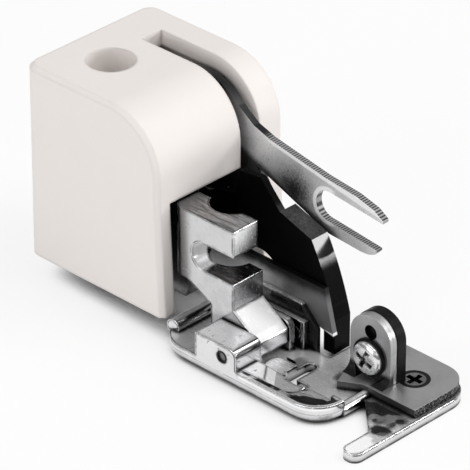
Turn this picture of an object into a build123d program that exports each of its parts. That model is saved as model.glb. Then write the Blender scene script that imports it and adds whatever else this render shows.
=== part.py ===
from build123d import *
import os
from math import cos, radians, sin

os.makedirs("parts", exist_ok=True)

# Low-shank side-cutter presser foot. Millimetres, +X to the operator's right, +Y to the back, +Z up.
# The presser bar stands on the Z axis, and the underside of the sole lies on Z = 0.

# Shared fits
TOUCH_GAP = 0.1
RUN_CLEAR = 0.05
BLADE_GAP = 0.07

# Housing: moulded shell, open below and at the front
HOUSE_LEFT = -8.5
HOUSE_WIDTH = 23.5
HOUSE_FRONT = 5.3
HOUSE_DEPTH = 24.7
HOUSE_BOTTOM = 3.5
HOUSE_HEIGHT = 28.5
HOUSE_WALL = 2.3
HOUSE_BROW = 8.4
HOUSE_TOE_LEAN = 0.8
HOUSE_BACK_ROUND = 2.2
HOUSE_EDGE_BREAK = 0.6
MOUTH_TOP = 19.7
LEVER_SLOT_LEFT = 6.9
LEVER_SLOT_WIDTH = 3.6
LEVER_SLOT_BACK = 23.4
WELL_Y = 22.2
WELL_DIAMETER = 6.7
WELL_TUBE_WALL = 1.4
WELL_SEAT = 1.5
SHAFT_SEAT_DEPTH = 1.3

# Shank casting: clamp block, hinge tongue and the rear plate that carries the housing
BAR_DIAMETER = 6.1
BAR_RELIEF = 0.3
SHANK_LEFT = -5.6
SHANK_WIDTH = 4.5
SHANK_FRONT = -5.5
SHANK_BACK = 5.8
SHANK_TOP = 19.5
SHANK_HEEL = 9.3
SHANK_BACK_ROUND = 2.0
SCREW_SLOT_WIDTH = 4.0
SCREW_SLOT_HEIGHT = 13.7
TONGUE_WIDTH = 5.5
TONGUE_FRONT = -10.0
TONGUE_NOSE = 1.6
TONGUE_SHOULDER = 7.8
TONGUE_BROW = (-9.0, 5.5)
TONGUE_BACK = -1.5
REAR_PLATE_LEFT = -3.4
REAR_PLATE_THICK = 2.3
REAR_PLATE_BACK = 26.5
REAR_PLATE_TOP = 18.6
REAR_PLATE_BOTTOM = 4.6
LUG_TOP = 20.9
LUG_THICK = 4.2
LUG_LENGTH = 7.2
LUG_RIGHT = 3.4

# Pivots, as (Y, Z)
FORK_PIVOT = (14.0, 21.0)
KNIFE_PIVOT = (13.0, 10.5)
SOLE_PIVOT = (-8.2, 4.25)
SHAFT_DIAMETER = 3.0
SPACER_DIAMETER = 4.6
HINGE_PIN_DIAMETER = 1.5

# Fork lever: flat steel plate with a hub disc, two tines and a drive crank
FORK_LEFT = 8.45
FORK_THICK = 1.05
FORK_HUB_RADIUS = 8.0
FORK_CROWN_RADIUS = 9.5
FORK_BUSH_DIAMETER = 5.6
FORK_BUSH_LEFT = 6.9
FORK_SLOT_WIDTH = 4.4
FORK_SLOT_ROOT = (-9.0, 19.0)
FORK_SLOT_FALL = 6.1
FORK_TIP_Y = -18.5
FORK_TINE_FRONT = -17.5
FORK_TIP_TOP = 20.6
FORK_TIP_FOOT = 17.0
FORK_TINE_NOSE = 15.6

# Corners of the fork lever as (Y, Z); the lower tine's are as far behind its front as their Y says
FORK_NECK = ((7.6, 27.9), (4.4, 25.7), (1.5, 24.75))
FORK_BACK = ((-8.3, 23.0), (-13.8, 22.4), (-16.9, 21.6))
FORK_LOWER_TINE = ((0.4, 15.1), (1.4, 14.7), (2.8, 14.6))
FORK_BELLY = ((-12.0, 14.8), (-8.6, 15.0), (-4.8, 16.6))
FORK_CROTCH = (4.0, 20.0)
FORK_HEEL = ((0.6, 14.9), (2.0, 12.9), (8.0, 13.6))
FORK_CROWN_BACK = 3.0
FORK_CROWN_FRONT = 5.0
FORK_SWING = 45.0
CRANK_RADIUS = 6.5
CRANK_PIN_DIAMETER = 1.9
CRANK_PIN_LENGTH = 4.4

# Knife arm: moulded lever with a thin web, a wide outer flange and a cam slot behind its hub
KNIFE_RATIO = 0.22
ARM_LEFT = 3.95
ARM_WEB = 1.0
ARM_FLANGE_WIDTH = 2.95
ARM_RIM = 1.9
ARM_RIM_WALL = 0.6
ARM_HUB_DIAMETER = 7.2
ARM_HUB_RIGHT = 7.0
ARM_PAD_BACK = (-4.6, 18.3)
ARM_PAD_FRONT = (-10.3, 16.4)
ARM_RIM_MID = (-13.1, 10.4)
ARM_BEAK_FRONT = -14.5
ARM_BEAK_TOP = 6.0
ARM_BEAK_BOTTOM = 0.9
ARM_HORN_FRONT = (-1.1, 22.0)
ARM_HORN_BACK = (2.6, 21.6)
ARM_HORN_ROOT = (3.4, 17.9)
CAM_LEFT = 5.2
CAM_THICK = 1.5
CAM_WALL = 1.3
CAM_STEPS = 4

# Knives
KNIFE_THICK = 0.8
KNIFE_EDGE = 6.7
KNIFE_TOP = 10.6
KNIFE_BACK = 8.8
KNIFE_TIP = 4.15
KNIFE_TIP_LENGTH = 2.7
KNIFE_FRONT = -15.0
KNIFE_RAKE = 1.7
FIXED_KNIFE_THICK = 0.65
FIXED_KNIFE_EDGE = 7.45
FIXED_KNIFE_TIP = 4.6
FIXED_KNIFE_FRONT = -12.8
FIXED_KNIFE_SLANT = 2.9
FIXED_KNIFE_BACK = -2.4
KNIFE_SEAT_THICK = 0.9
KNIFE_SEAT_TOP = 5.4
RIVET_DIAMETER = 1.8

# Sole: cast shoe with a rolled left rim, hinge cheeks, wing and front finger
SOLE_LEFT = -10.5
SOLE_BACK = 4.0
SOLE_TOE = -25.2
SOLE_FRONT = -24.4
TOE_RIGHT = -5.6
SOLE_FLOOR = 1.3
SOLE_RIM = 3.0
SOLE_RIM_WALL = 1.2
SOLE_ROLL = 1.8
SOLE_ROLL_STEPS = 3
SOLE_BACK_CORNER = 4.6
SOLE_TOE_CORNER = 4.5
DECK_TOP = 2.55
DECK_FRONT = -6.5
SHELF_TOP = 2.0
SHELF_RIGHT = -5.6
SHELF_FRONT = -18.4
TOE_RAMP_FOOT = -4.5
CHEEK_GAP = 0.15
BLOCK_BACK = -3.4
BLOCK_FRONT = -10.7
BLOCK_TOP = 6.0
BLOCK_ROUND = 1.2
CHEEK_THICK = 0.95
CHEEK_FRONT = -10.2
CHEEK_BACK = -3.0
CHEEK_TOP = 5.7
NEEDLE_Y = -14.8
NEEDLE_LEFT = -5.2
NEEDLE_RIGHT = 0.0
NEEDLE_OPENING = 1.7
THREAD_SLIT_X = -2.2
THREAD_SLIT_BACK = -11.1
THREAD_SLIT_WIDTH = 0.5
PAD_CENTRE = (-4.0, -12.4)
PAD_RADIUS = 2.2
PAD_TOP = 1.9
BEAD_RADIUS = 0.85
BEAD_Z = 1.1
BEAD_RIGHT = -0.6
LIP_RADIUS = 1.1
LIP_CENTRE = (2.9, 3.0)
LIP_LEFT = -8.2
LIP_RIGHT = 1.0
WING_RIGHT = 10.0
WING_BACK = -15.0
WING_FRONT = -33.3
FINGER_WIDTH = 2.8
FINGER_TIP = -12.3
FINGER_ROOT = -7.0

# Guide plate with its upright tab, and what the tab carries
GUIDE_THICK = 1.2
GUIDE_LEFT = -0.6
GUIDE_RIGHT = 10.3
GUIDE_FRONT = -32.7
GUIDE_BACK = -19.6
GUIDE_STEP = -23.7
GUIDE_CORNER = (-2.3, -20.8)
GUIDE_ROUND = 4.0
TAB_LEFT = 1.9
TAB_THICK = 0.6
TAB_Y = -23.2
TAB_RADIUS = 3.5
TAB_CENTRE_Z = 8.1
EAR_THICK = 0.6
EAR_BEND = 1.5
EAR_HOLE_DIAMETER = 2.0
EAR_HOLE_Z = 9.2
NUT_THICK = 1.6
NUT_RADIUS = 3.6
PAN_SCREW_Z = 5.6
PAN_SCREW_DIAMETER = 3.0
PAN_HEAD_DIAMETER = 5.6
PAN_HEAD_HEIGHT = 1.1
WASHER_DIAMETER = 6.6
WASHER_THICK = 0.35
FLAT_SCREW_X = 4.9
FLAT_SCREW_Y = -27.6
FLAT_SCREW_DIAMETER = 2.2
FLAT_HEAD_DIAMETER = 3.9
CROSS_WIDTH = 0.7
CROSS_DEPTH = 0.9

# Housing screw, at the bottom of the well
HOUSE_SCREW_DIAMETER = 3.0
HOUSE_SCREW_HEAD = 5.6
HOUSE_SCREW_HEAD_HEIGHT = 2.0
HOUSE_SCREW_LENGTH = 5.0

# Places that several pieces share
HOUSE_RIGHT = HOUSE_LEFT + HOUSE_WIDTH
HOUSE_TOP = HOUSE_BOTTOM + HOUSE_HEIGHT
HOUSE_BACK = HOUSE_FRONT + HOUSE_DEPTH
CAVITY_LEFT = HOUSE_LEFT + HOUSE_WALL
CAVITY_RIGHT = HOUSE_RIGHT - HOUSE_WALL
LEVER_SLOT_RIGHT = LEVER_SLOT_LEFT + LEVER_SLOT_WIDTH
FORK_RIGHT = FORK_LEFT + FORK_THICK
SHANK_RIGHT = SHANK_LEFT + SHANK_WIDTH
TONGUE_RIGHT = SHANK_LEFT + TONGUE_WIDTH
REAR_PLATE_RIGHT = REAR_PLATE_LEFT + REAR_PLATE_THICK
TONGUE_BOTTOM = SOLE_PIVOT[1] - TONGUE_NOSE
CRANK_PIN = (FORK_PIVOT[0] + CRANK_RADIUS, FORK_PIVOT[1])
KNIFE_LEFT = ARM_LEFT - KNIFE_THICK
FIXED_KNIFE_RIGHT = KNIFE_LEFT - BLADE_GAP
FIXED_KNIFE_LEFT = FIXED_KNIFE_RIGHT - FIXED_KNIFE_THICK
SOLE_RIGHT = FIXED_KNIFE_LEFT
CHEEK_LEFT = TONGUE_RIGHT + CHEEK_GAP
BLOCK_RIGHT = SHANK_LEFT - CHEEK_GAP
GUIDE_TOP = SOLE_FLOOR + GUIDE_THICK
EAR_LEFT = TAB_LEFT - EAR_THICK
NUT_LEFT = TAB_LEFT + TAB_THICK
KNIFE_RIVETS_Y = (3.5, -6.0)
FIXED_RIVETS_Y = (-4.6, -9.8)
KNIFE_RIVET_Z = (KNIFE_EDGE + KNIFE_TOP) / 2
FIXED_RIVET_Z = (SOLE_FLOOR + KNIFE_SEAT_TOP) / 2
KNIFE_SEAT_LEFT = FIXED_KNIFE_LEFT - KNIFE_SEAT_THICK


def slab(sketch, x_low, x_high):
    """Stands a (Y, Z) sketch upright and gives it the X range."""
    return extrude(Plane.YZ.offset(x_low) * sketch, amount=x_high - x_low, dir=(1, 0, 0))


def layer(sketch, z_low, z_high):
    """Gives an (X, Y) sketch the Z range."""
    return extrude(Plane.XY.offset(z_low) * sketch, amount=z_high - z_low, dir=(0, 0, 1))


def ridge(sketch, y_low, y_high):
    """Gives an (X, Z) sketch the Y range."""
    return extrude(Plane.XZ.offset(-y_high) * sketch, amount=y_high - y_low, dir=(0, -1, 0))


def outline(*points):
    """Closed straight-sided sketch through the points."""
    return Polygon(*points, align=None)


def spot(centre, radius):
    """Round sketch about a centre."""
    return Pos(*centre) * Circle(radius)


def rod(centre, radius, x_low, x_high):
    """Round bar along X about a (Y, Z) centre."""
    return slab(spot(centre, radius), x_low, x_high)


def block(x_low, x_high, y_low, y_high, z_low, z_high):
    """Box between its limits."""
    return Pos(x_low, y_low, z_low) * Box(
        x_high - x_low, y_high - y_low, z_high - z_low, align=(Align.MIN, Align.MIN, Align.MIN)
    )


def near_vertex(sketch, point):
    """The sketch's corner nearest to the point."""
    return sketch.vertices().sort_by_distance((point[0], point[1], 0))[0]


def cam_point(angle):
    """Place of the crank pin on the knife arm, once the fork has swung up by the angle."""
    turn = radians(angle)
    back = radians(angle * KNIFE_RATIO)
    y = FORK_PIVOT[0] + CRANK_RADIUS * cos(turn) - KNIFE_PIVOT[0]
    z = FORK_PIVOT[1] - CRANK_RADIUS * sin(turn) - KNIFE_PIVOT[1]
    return (
        KNIFE_PIVOT[0] + y * cos(back) - z * sin(back),
        KNIFE_PIVOT[1] + y * sin(back) + z * cos(back),
    )


def brow_profile(inset, floor_z):
    """Side outline of the housing, drawn in by the inset, with the big front-top curve."""
    front_top = (HOUSE_FRONT + inset, HOUSE_TOP - inset)
    shape = outline(
        (HOUSE_BACK - inset, floor_z),
        (HOUSE_BACK - inset, HOUSE_TOP - inset),
        front_top,
        (HOUSE_FRONT + inset, MOUTH_TOP),
        (HOUSE_FRONT + inset - HOUSE_TOE_LEAN, floor_z),
    )
    return fillet(near_vertex(shape, front_top), HOUSE_BROW - inset)


def housing():
    """White moulded shell with the lever slot, the screw well and the seats of the two shafts."""
    shell = slab(brow_profile(0, HOUSE_BOTTOM), HOUSE_LEFT, HOUSE_RIGHT)
    back_edges = shell.edges().filter_by(Axis.Z).group_by(Axis.Y)[-1]
    shell = fillet(back_edges, HOUSE_BACK_ROUND)
    outer_edges = shell.edges().filter_by(lambda edge: edge.center().Z > HOUSE_BOTTOM + HOUSE_EDGE_BREAK)
    top_edges = outer_edges.filter_by(lambda edge: edge.length > 3 * HOUSE_EDGE_BREAK)
    side_edges = top_edges.filter_by(lambda edge: not (edge.geom_type == GeomType.LINE
                                                       and edge.center().Y > HOUSE_BACK - HOUSE_BACK_ROUND - 1
                                                       and abs(edge.tangent_at(0).Z) > 0.9))
    side_edges = side_edges.filter_by(
        lambda edge: min(edge.center().X - HOUSE_LEFT, HOUSE_RIGHT - edge.center().X) < HOUSE_BACK_ROUND
        or edge.center().Y > HOUSE_BACK - HOUSE_BACK_ROUND
    )
    shell = chamfer(side_edges, HOUSE_EDGE_BREAK)
    shell -= slab(brow_profile(HOUSE_WALL, HOUSE_BOTTOM - 1), CAVITY_LEFT, CAVITY_RIGHT)
    mouth_front = HOUSE_FRONT - HOUSE_TOE_LEAN - 1
    mouth_back = HOUSE_FRONT + HOUSE_WALL + 1
    shell -= block(CAVITY_LEFT, LEVER_SLOT_RIGHT, mouth_front, mouth_back, HOUSE_BOTTOM - 1, MOUTH_TOP)
    shell -= block(
        LEVER_SLOT_LEFT, LEVER_SLOT_RIGHT, mouth_front, LEVER_SLOT_BACK, MOUTH_TOP - 1, HOUSE_TOP + 1
    )
    well = spot((0, WELL_Y), WELL_DIAMETER / 2)
    tube = spot((0, WELL_Y), WELL_DIAMETER / 2 + WELL_TUBE_WALL)
    shell += layer(tube, LUG_TOP, HOUSE_TOP - HOUSE_WALL)
    shell -= layer(well, LUG_TOP + WELL_SEAT, HOUSE_TOP + 1)
    shell -= layer(spot((0, WELL_Y), HOUSE_SCREW_DIAMETER / 2 + RUN_CLEAR), LUG_TOP - 1, HOUSE_TOP)
    for pivot in (FORK_PIVOT, KNIFE_PIVOT):
        shell -= rod(pivot, SHAFT_DIAMETER / 2, *shaft_ends())
    return shell


def shaft_ends():
    """X limits of the two cross shafts, seated in the side walls."""
    return CAVITY_LEFT - SHAFT_SEAT_DEPTH, CAVITY_RIGHT + SHAFT_SEAT_DEPTH


def housing_screw():
    """Pan-head screw that holds the housing on the shank's lug."""
    seat = LUG_TOP + WELL_SEAT
    head = layer(spot((0, WELL_Y), HOUSE_SCREW_HEAD / 2), seat, seat + HOUSE_SCREW_HEAD_HEIGHT)
    head = chamfer(head.edges().group_by(Axis.Z)[-1], HOUSE_SCREW_HEAD_HEIGHT / 4)
    stem = layer(spot((0, WELL_Y), HOUSE_SCREW_DIAMETER / 2), seat - HOUSE_SCREW_LENGTH, seat)
    slots = Rectangle(HOUSE_SCREW_HEAD * 0.6, CROSS_WIDTH) + Rectangle(CROSS_WIDTH, HOUSE_SCREW_HEAD * 0.6)
    top = seat + HOUSE_SCREW_HEAD_HEIGHT
    return head + stem - layer(Pos(0, WELL_Y) * slots, top - CROSS_DEPTH, top + 1)


def tongue_profile():
    """Side outline of the hinge tongue: slanted top, rounded brow, upright front."""
    brow = TONGUE_BROW
    lip = (TONGUE_FRONT, TONGUE_BROW[1] - 0.8)
    shape = outline(
        (SHANK_FRONT, TONGUE_SHOULDER), brow, lip, (TONGUE_FRONT, TONGUE_BOTTOM),
        (TONGUE_BACK, TONGUE_BOTTOM), (TONGUE_BACK, TONGUE_SHOULDER),
    )
    shape = fillet(near_vertex(shape, brow), 0.6)
    return fillet(near_vertex(shape, lip), 0.6)


def shank():
    """Chrome casting: slotted clamp block, hinge tongue below it and the plate inside the housing."""
    side = outline(
        (SHANK_FRONT, SHANK_TOP), (SHANK_BACK, SHANK_TOP), (SHANK_BACK, SHANK_HEEL),
        (SHANK_BACK - SHANK_BACK_ROUND - 1, SHANK_HEEL), (TONGUE_BACK, TONGUE_SHOULDER - 0.6),
        (SHANK_FRONT, TONGUE_SHOULDER - 0.6),
    )
    body = slab(side, SHANK_LEFT, SHANK_RIGHT)
    body = fillet(body.edges().filter_by(Axis.Z).group_by(Axis.Y)[-1].sort_by(Axis.X)[0], SHANK_BACK_ROUND)
    body += block(
        SHANK_LEFT, TONGUE_RIGHT, SHANK_FRONT, TONGUE_BACK, TONGUE_SHOULDER - 0.6, SCREW_SLOT_HEIGHT
    )
    body += slab(tongue_profile(), SHANK_LEFT, TONGUE_RIGHT)
    plate = outline(
        (SHANK_BACK - SHANK_BACK_ROUND - 1, REAR_PLATE_TOP), (REAR_PLATE_BACK, REAR_PLATE_TOP),
        (REAR_PLATE_BACK, LUG_TOP - LUG_THICK), (KNIFE_PIVOT[0] + 4, REAR_PLATE_BOTTOM),
        (SHANK_BACK - 0.6, REAR_PLATE_BOTTOM), (SHANK_BACK - SHANK_BACK_ROUND - 1, SHANK_HEEL),
    )
    body += slab(plate, REAR_PLATE_LEFT, REAR_PLATE_RIGHT)
    body -= layer(Circle(BAR_DIAMETER / 2), TONGUE_SHOULDER - 0.6, SHANK_TOP + 1)
    body += block(
        REAR_PLATE_LEFT, LUG_RIGHT, WELL_Y - LUG_LENGTH / 2, WELL_Y + LUG_LENGTH / 2, LUG_TOP - LUG_THICK, LUG_TOP
    )
    body -= layer(spot((0, WELL_Y), HOUSE_SCREW_DIAMETER / 2), LUG_TOP - LUG_THICK - 1, LUG_TOP + 1)
    body -= rod(KNIFE_PIVOT, SHAFT_DIAMETER / 2, REAR_PLATE_LEFT - 1, REAR_PLATE_RIGHT + 1)
    half = SCREW_SLOT_WIDTH / 2
    slot = spot((0, SCREW_SLOT_HEIGHT), half) + outline(
        (0, SCREW_SLOT_HEIGHT + half), (SHANK_FRONT - 1, SCREW_SLOT_HEIGHT + half),
        (SHANK_FRONT - 1, SCREW_SLOT_HEIGHT - half), (0, SCREW_SLOT_HEIGHT - half),
    )
    body -= slab(slot, SHANK_LEFT - 1, TONGUE_RIGHT + 1)
    body -= layer(
        Circle(BAR_DIAMETER / 2 + BAR_RELIEF), SCREW_SLOT_HEIGHT - half, SCREW_SLOT_HEIGHT + half
    )
    body -= rod(SOLE_PIVOT, HINGE_PIN_DIAMETER / 2 + RUN_CLEAR, SHANK_LEFT - 1, TONGUE_RIGHT + 1)
    return body


def cross_shaft(pivot):
    """Steel shaft across the housing."""
    return rod(pivot, SHAFT_DIAMETER / 2, *shaft_ends())


def spacer(pivot, x_low, x_high):
    """Hexagonal sleeve that keeps a lever in its place along a shaft."""
    ring = Pos(*pivot) * RegularPolygon(SPACER_DIAMETER / 2, 6) - spot(pivot, SHAFT_DIAMETER / 2)
    return slab(ring, x_low, x_high)


def fork_plate():
    """Flat lever: hub disc, arm with two tines, and the heel under the arm."""
    lower_tine = [(FORK_TINE_FRONT + behind, height) for behind, height in FORK_LOWER_TINE]
    arm = outline(
        FORK_PIVOT, *FORK_NECK, *FORK_BACK, (FORK_TIP_Y, FORK_TIP_TOP), (FORK_TIP_Y, FORK_TIP_FOOT),
        (FORK_TINE_FRONT, FORK_TIP_FOOT), (FORK_TINE_FRONT, FORK_TINE_NOSE), *lower_tine, *FORK_BELLY, FORK_CROTCH,
    )
    heel = outline(FORK_PIVOT, FORK_CROTCH, *FORK_HEEL)
    mouth = Pos(*FORK_SLOT_ROOT) * Rot(0, 0, FORK_SLOT_FALL) * (
        Circle(FORK_SLOT_WIDTH / 2) + Pos(FORK_TIP_Y / 2, 0) * Rectangle(-FORK_TIP_Y, FORK_SLOT_WIDTH)
    )
    crown_back, crown_front = FORK_PIVOT[0] + FORK_CROWN_BACK, HOUSE_FRONT - FORK_CROWN_FRONT
    crown = spot(FORK_PIVOT, FORK_CROWN_RADIUS) & outline(
        FORK_PIVOT, (crown_back, HOUSE_TOP), (crown_front, HOUSE_TOP), (crown_front, FORK_PIVOT[1])
    )
    shape = arm + heel + crown + spot(FORK_PIVOT, FORK_HUB_RADIUS) - mouth
    shape -= spot(FORK_PIVOT, FORK_BUSH_DIAMETER / 2)
    shape -= spot(CRANK_PIN, CRANK_PIN_DIAMETER / 2)
    return slab(shape, FORK_LEFT, FORK_RIGHT)


def fork_bush():
    """Bush that carries the fork plate on its shaft."""
    ring = spot(FORK_PIVOT, FORK_BUSH_DIAMETER / 2) - spot(FORK_PIVOT, SHAFT_DIAMETER / 2 + RUN_CLEAR)
    return slab(ring, FORK_BUSH_LEFT, CAVITY_RIGHT - TOUCH_GAP)


def crank_pin():
    """Pin pressed into the fork's hub, which runs in the knife arm's cam slot."""
    return rod(CRANK_PIN, CRANK_PIN_DIAMETER / 2, FORK_RIGHT - CRANK_PIN_LENGTH, FORK_RIGHT)


def cam_slot(margin):
    """Path of the crank pin on the knife arm, widened by the margin."""
    stops = [cam_point(FORK_SWING * step / CAM_STEPS) for step in range(CAM_STEPS + 1)]
    radius = CRANK_PIN_DIAMETER / 2 + margin
    path = spot(stops[0], radius)
    for first, second in zip(stops, stops[1:]):
        path += make_hull((spot(first, radius) + spot(second, radius)).edges())
    return path


def arm_rim(inset):
    """Outer line of the knife arm, from the pad round to the tip of the beak, drawn in by the inset."""
    pad_back = Vector(ARM_PAD_BACK[0], ARM_PAD_BACK[1] - inset)
    pad_front = Vector(ARM_PAD_FRONT[0] + inset * 0.3, ARM_PAD_FRONT[1] - inset)
    bend = Vector(ARM_BEAK_FRONT + inset, ARM_BEAK_TOP)
    tip = Vector(ARM_BEAK_FRONT + inset, ARM_BEAK_BOTTOM)
    pad = Line(pad_back, pad_front)
    middle = Vector(ARM_RIM_MID[0] + inset, ARM_RIM_MID[1] - inset * 0.3)
    curve = ThreePointArc(bend, middle, pad_front)
    return pad, curve, Line(bend, tip)


def knife_arm():
    """Black moulded lever: hub, front web with its horn, flanged rim and beak, and the cam lever behind."""
    pad, curve, beak = arm_rim(0)
    pad_in, curve_in, beak_in = arm_rim(ARM_RIM)
    tip_edge = Line(beak @ 1, beak_in @ 1)
    pad_edge = Line(pad_in @ 0, pad @ 0)
    rim = make_face([pad, curve, beak, tip_edge, beak_in, curve_in, pad_in, pad_edge])
    web_edges = Polyline(
        beak_in @ 0, (ARM_BEAK_FRONT + ARM_RIM, KNIFE_EDGE + 0.6), (KNIFE_PIVOT[0], KNIFE_EDGE + 0.4),
        (KNIFE_PIVOT[0], KNIFE_PIVOT[1] + 3.2), (6.0, ARM_HORN_ROOT[1] - 0.6), ARM_HORN_ROOT, ARM_HORN_BACK,
        ARM_HORN_FRONT, (pad @ 0),
    )
    web = make_face([web_edges, pad, curve, Line(curve @ 0, beak_in @ 0)])
    window_low = KNIFE_TOP - 0.85
    window = make_face([
        Line((2.0, window_low), (-4.1, window_low)),
        ThreePointArc((-4.1, window_low), (-1.05, window_low + 1.6), (2.0, window_low)),
    ])
    hub = spot(KNIFE_PIVOT, ARM_HUB_DIAMETER / 2)
    lever_ends = [cam_point(0), cam_point(FORK_SWING)]
    lever = hub
    wall_radius = CRANK_PIN_DIAMETER / 2 + CAM_WALL
    for end in lever_ends:
        lever += spot(end, wall_radius)
    lever = make_hull(lever.edges()) - cam_slot(BLADE_GAP)
    body = slab(web - window, ARM_LEFT, ARM_LEFT + ARM_WEB)
    body += slab(rim, ARM_LEFT, ARM_LEFT + ARM_FLANGE_WIDTH)
    sight = outline(
        (ARM_BEAK_FRONT + ARM_RIM - 0.1, KNIFE_EDGE + 1.3), (ARM_BEAK_FRONT + ARM_RIM_WALL, KNIFE_EDGE + 1.2),
        (ARM_BEAK_FRONT + ARM_RIM_WALL, KNIFE_EDGE), (ARM_BEAK_FRONT + ARM_RIM - 0.3, KNIFE_EDGE - 0.2),
    )
    body -= slab(sight, ARM_LEFT - 1, ARM_LEFT + ARM_FLANGE_WIDTH + 1)
    body += slab(lever, CAM_LEFT, CAM_LEFT + CAM_THICK)
    body += slab(hub, REAR_PLATE_RIGHT + TOUCH_GAP, ARM_HUB_RIGHT)
    body -= rod(KNIFE_PIVOT, SHAFT_DIAMETER / 2 + RUN_CLEAR, REAR_PLATE_RIGHT, ARM_HUB_RIGHT + 1)
    for y in KNIFE_RIVETS_Y:
        body -= rod((y, KNIFE_RIVET_Z), RIVET_DIAMETER / 2, ARM_LEFT - 1, ARM_LEFT + ARM_WEB + 1)
    return body


def moving_knife():
    """Steel blade on the left of the knife arm, with its cutting edge underneath."""
    heel = KNIFE_FRONT + KNIFE_TIP_LENGTH
    shape = outline(
        (KNIFE_BACK, KNIFE_EDGE - 0.7), (KNIFE_BACK, KNIFE_TOP), (KNIFE_FRONT + KNIFE_RAKE, KNIFE_TOP),
        (KNIFE_FRONT, KNIFE_TIP), (heel, KNIFE_TIP + 0.6), (heel + 2.7, KNIFE_EDGE),
    )
    blade = slab(shape, KNIFE_LEFT, ARM_LEFT)
    for y in KNIFE_RIVETS_Y:
        blade -= rod((y, KNIFE_RIVET_Z), RIVET_DIAMETER / 2, KNIFE_LEFT - 1, ARM_LEFT + 1)
    return blade


def knife_rivets():
    """Flush rivets of the moving knife."""
    pieces = [
        rod((y, KNIFE_RIVET_Z), RIVET_DIAMETER / 2, KNIFE_LEFT, ARM_LEFT + ARM_WEB) for y in KNIFE_RIVETS_Y
    ]
    return Compound(children=pieces)


def fixed_knife():
    """Steel blade on the right side of the sole, beside the needle opening."""
    shape = outline(
        (FIXED_KNIFE_BACK, 0), (FIXED_KNIFE_BACK, FIXED_KNIFE_EDGE),
        (FIXED_KNIFE_FRONT + FIXED_KNIFE_SLANT, FIXED_KNIFE_EDGE), (FIXED_KNIFE_FRONT, FIXED_KNIFE_TIP),
        (FIXED_KNIFE_FRONT, 0),
    )
    blade = slab(shape, FIXED_KNIFE_LEFT, FIXED_KNIFE_RIGHT)
    for y in FIXED_RIVETS_Y:
        blade -= rod((y, FIXED_RIVET_Z), RIVET_DIAMETER / 2, FIXED_KNIFE_LEFT - 1, FIXED_KNIFE_RIGHT + 1)
    return blade


def fixed_knife_rivets():
    """Flush rivets that hold the fixed knife on its seat."""
    pieces = [
        rod((y, FIXED_RIVET_Z), RIVET_DIAMETER / 2, KNIFE_SEAT_LEFT, FIXED_KNIFE_RIGHT) for y in FIXED_RIVETS_Y
    ]
    return Compound(children=pieces)


def sole_plan():
    """Outline of the shoe from above, without the wing."""
    back_left = (SOLE_LEFT, SOLE_BACK)
    toe_left = (SOLE_LEFT, SOLE_TOE)
    plan = outline(
        back_left, toe_left, (TOE_RIGHT, SOLE_TOE), (TOE_RIGHT, SOLE_FRONT),
        (SOLE_RIGHT, SOLE_FRONT), (SOLE_RIGHT, SOLE_BACK),
    )
    plan = fillet(near_vertex(plan, back_left), SOLE_BACK_CORNER)
    return fillet(near_vertex(plan, toe_left), SOLE_TOE_CORNER)


def sole_roll():
    """Insets and heights of the shoe's rolled edge, from the underside to the rim."""
    turns = [radians(90 * step / SOLE_ROLL_STEPS) for step in range(SOLE_ROLL_STEPS + 1)]
    return [(SOLE_ROLL * (1 - sin(turn)), SOLE_ROLL * (1 - cos(turn))) for turn in turns] + [(0, SOLE_RIM)]


def rolled_side():
    """Left part of the shoe, with its rounded corners and rolled edge."""
    sections = []
    for inset, height in sole_roll():
        back_left = (SOLE_LEFT + inset, SOLE_BACK - inset)
        toe_left = (SOLE_LEFT + inset, SOLE_TOE + inset)
        plan = outline(back_left, toe_left, (TOE_RIGHT, SOLE_TOE + inset), (TOE_RIGHT, SOLE_BACK - inset))
        plan = fillet(near_vertex(plan, back_left), SOLE_BACK_CORNER - inset)
        plan = fillet(near_vertex(plan, toe_left), SOLE_TOE_CORNER - inset)
        sections.append(Plane.XY.offset(height) * plan)
    return loft(sections, ruled=True)


def sole_hull():
    """Rolled shoe with its rim, inner shelf, toe pocket and the deck under the shank's tongue."""
    plan = sole_plan()
    back_edge = [(SOLE_BACK - inset, height) for inset, height in sole_roll()]
    body = rolled_side() + slab(
        outline((SOLE_FRONT, 0), *back_edge, (SOLE_FRONT, SOLE_RIM)), TOE_RIGHT, SOLE_RIGHT
    )
    inner = layer(offset(plan, -SOLE_RIM_WALL), SOLE_FLOOR, SOLE_RIM + 1)
    body -= inner & block(SOLE_LEFT, SHELF_RIGHT, SHELF_FRONT, BLOCK_FRONT, SHELF_TOP, SOLE_RIM + 1)
    body -= inner & block(SOLE_LEFT, SHELF_RIGHT, SOLE_TOE, SHELF_FRONT, SOLE_FLOOR, SOLE_RIM + 1)
    body -= block(SHELF_RIGHT, SOLE_RIGHT + 1, SOLE_TOE - 1, DECK_FRONT, SOLE_FLOOR, SOLE_RIM + 1)
    body -= block(SOLE_LEFT - 1, SOLE_RIGHT + 1, DECK_FRONT, SOLE_BACK + 1, DECK_TOP, SOLE_RIM + 1)
    ramp_top = SOLE_LEFT + SOLE_RIM_WALL
    ramp = outline((TOE_RAMP_FOOT, SOLE_FLOOR - 0.1), (ramp_top, SOLE_FLOOR - 0.1), (ramp_top, SOLE_RIM - 0.3))
    toe = ridge(ramp, SOLE_TOE, SHELF_FRONT) & layer(offset(plan, -SOLE_RIM_WALL / 2), 0, SOLE_RIM)
    return body + toe


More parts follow.
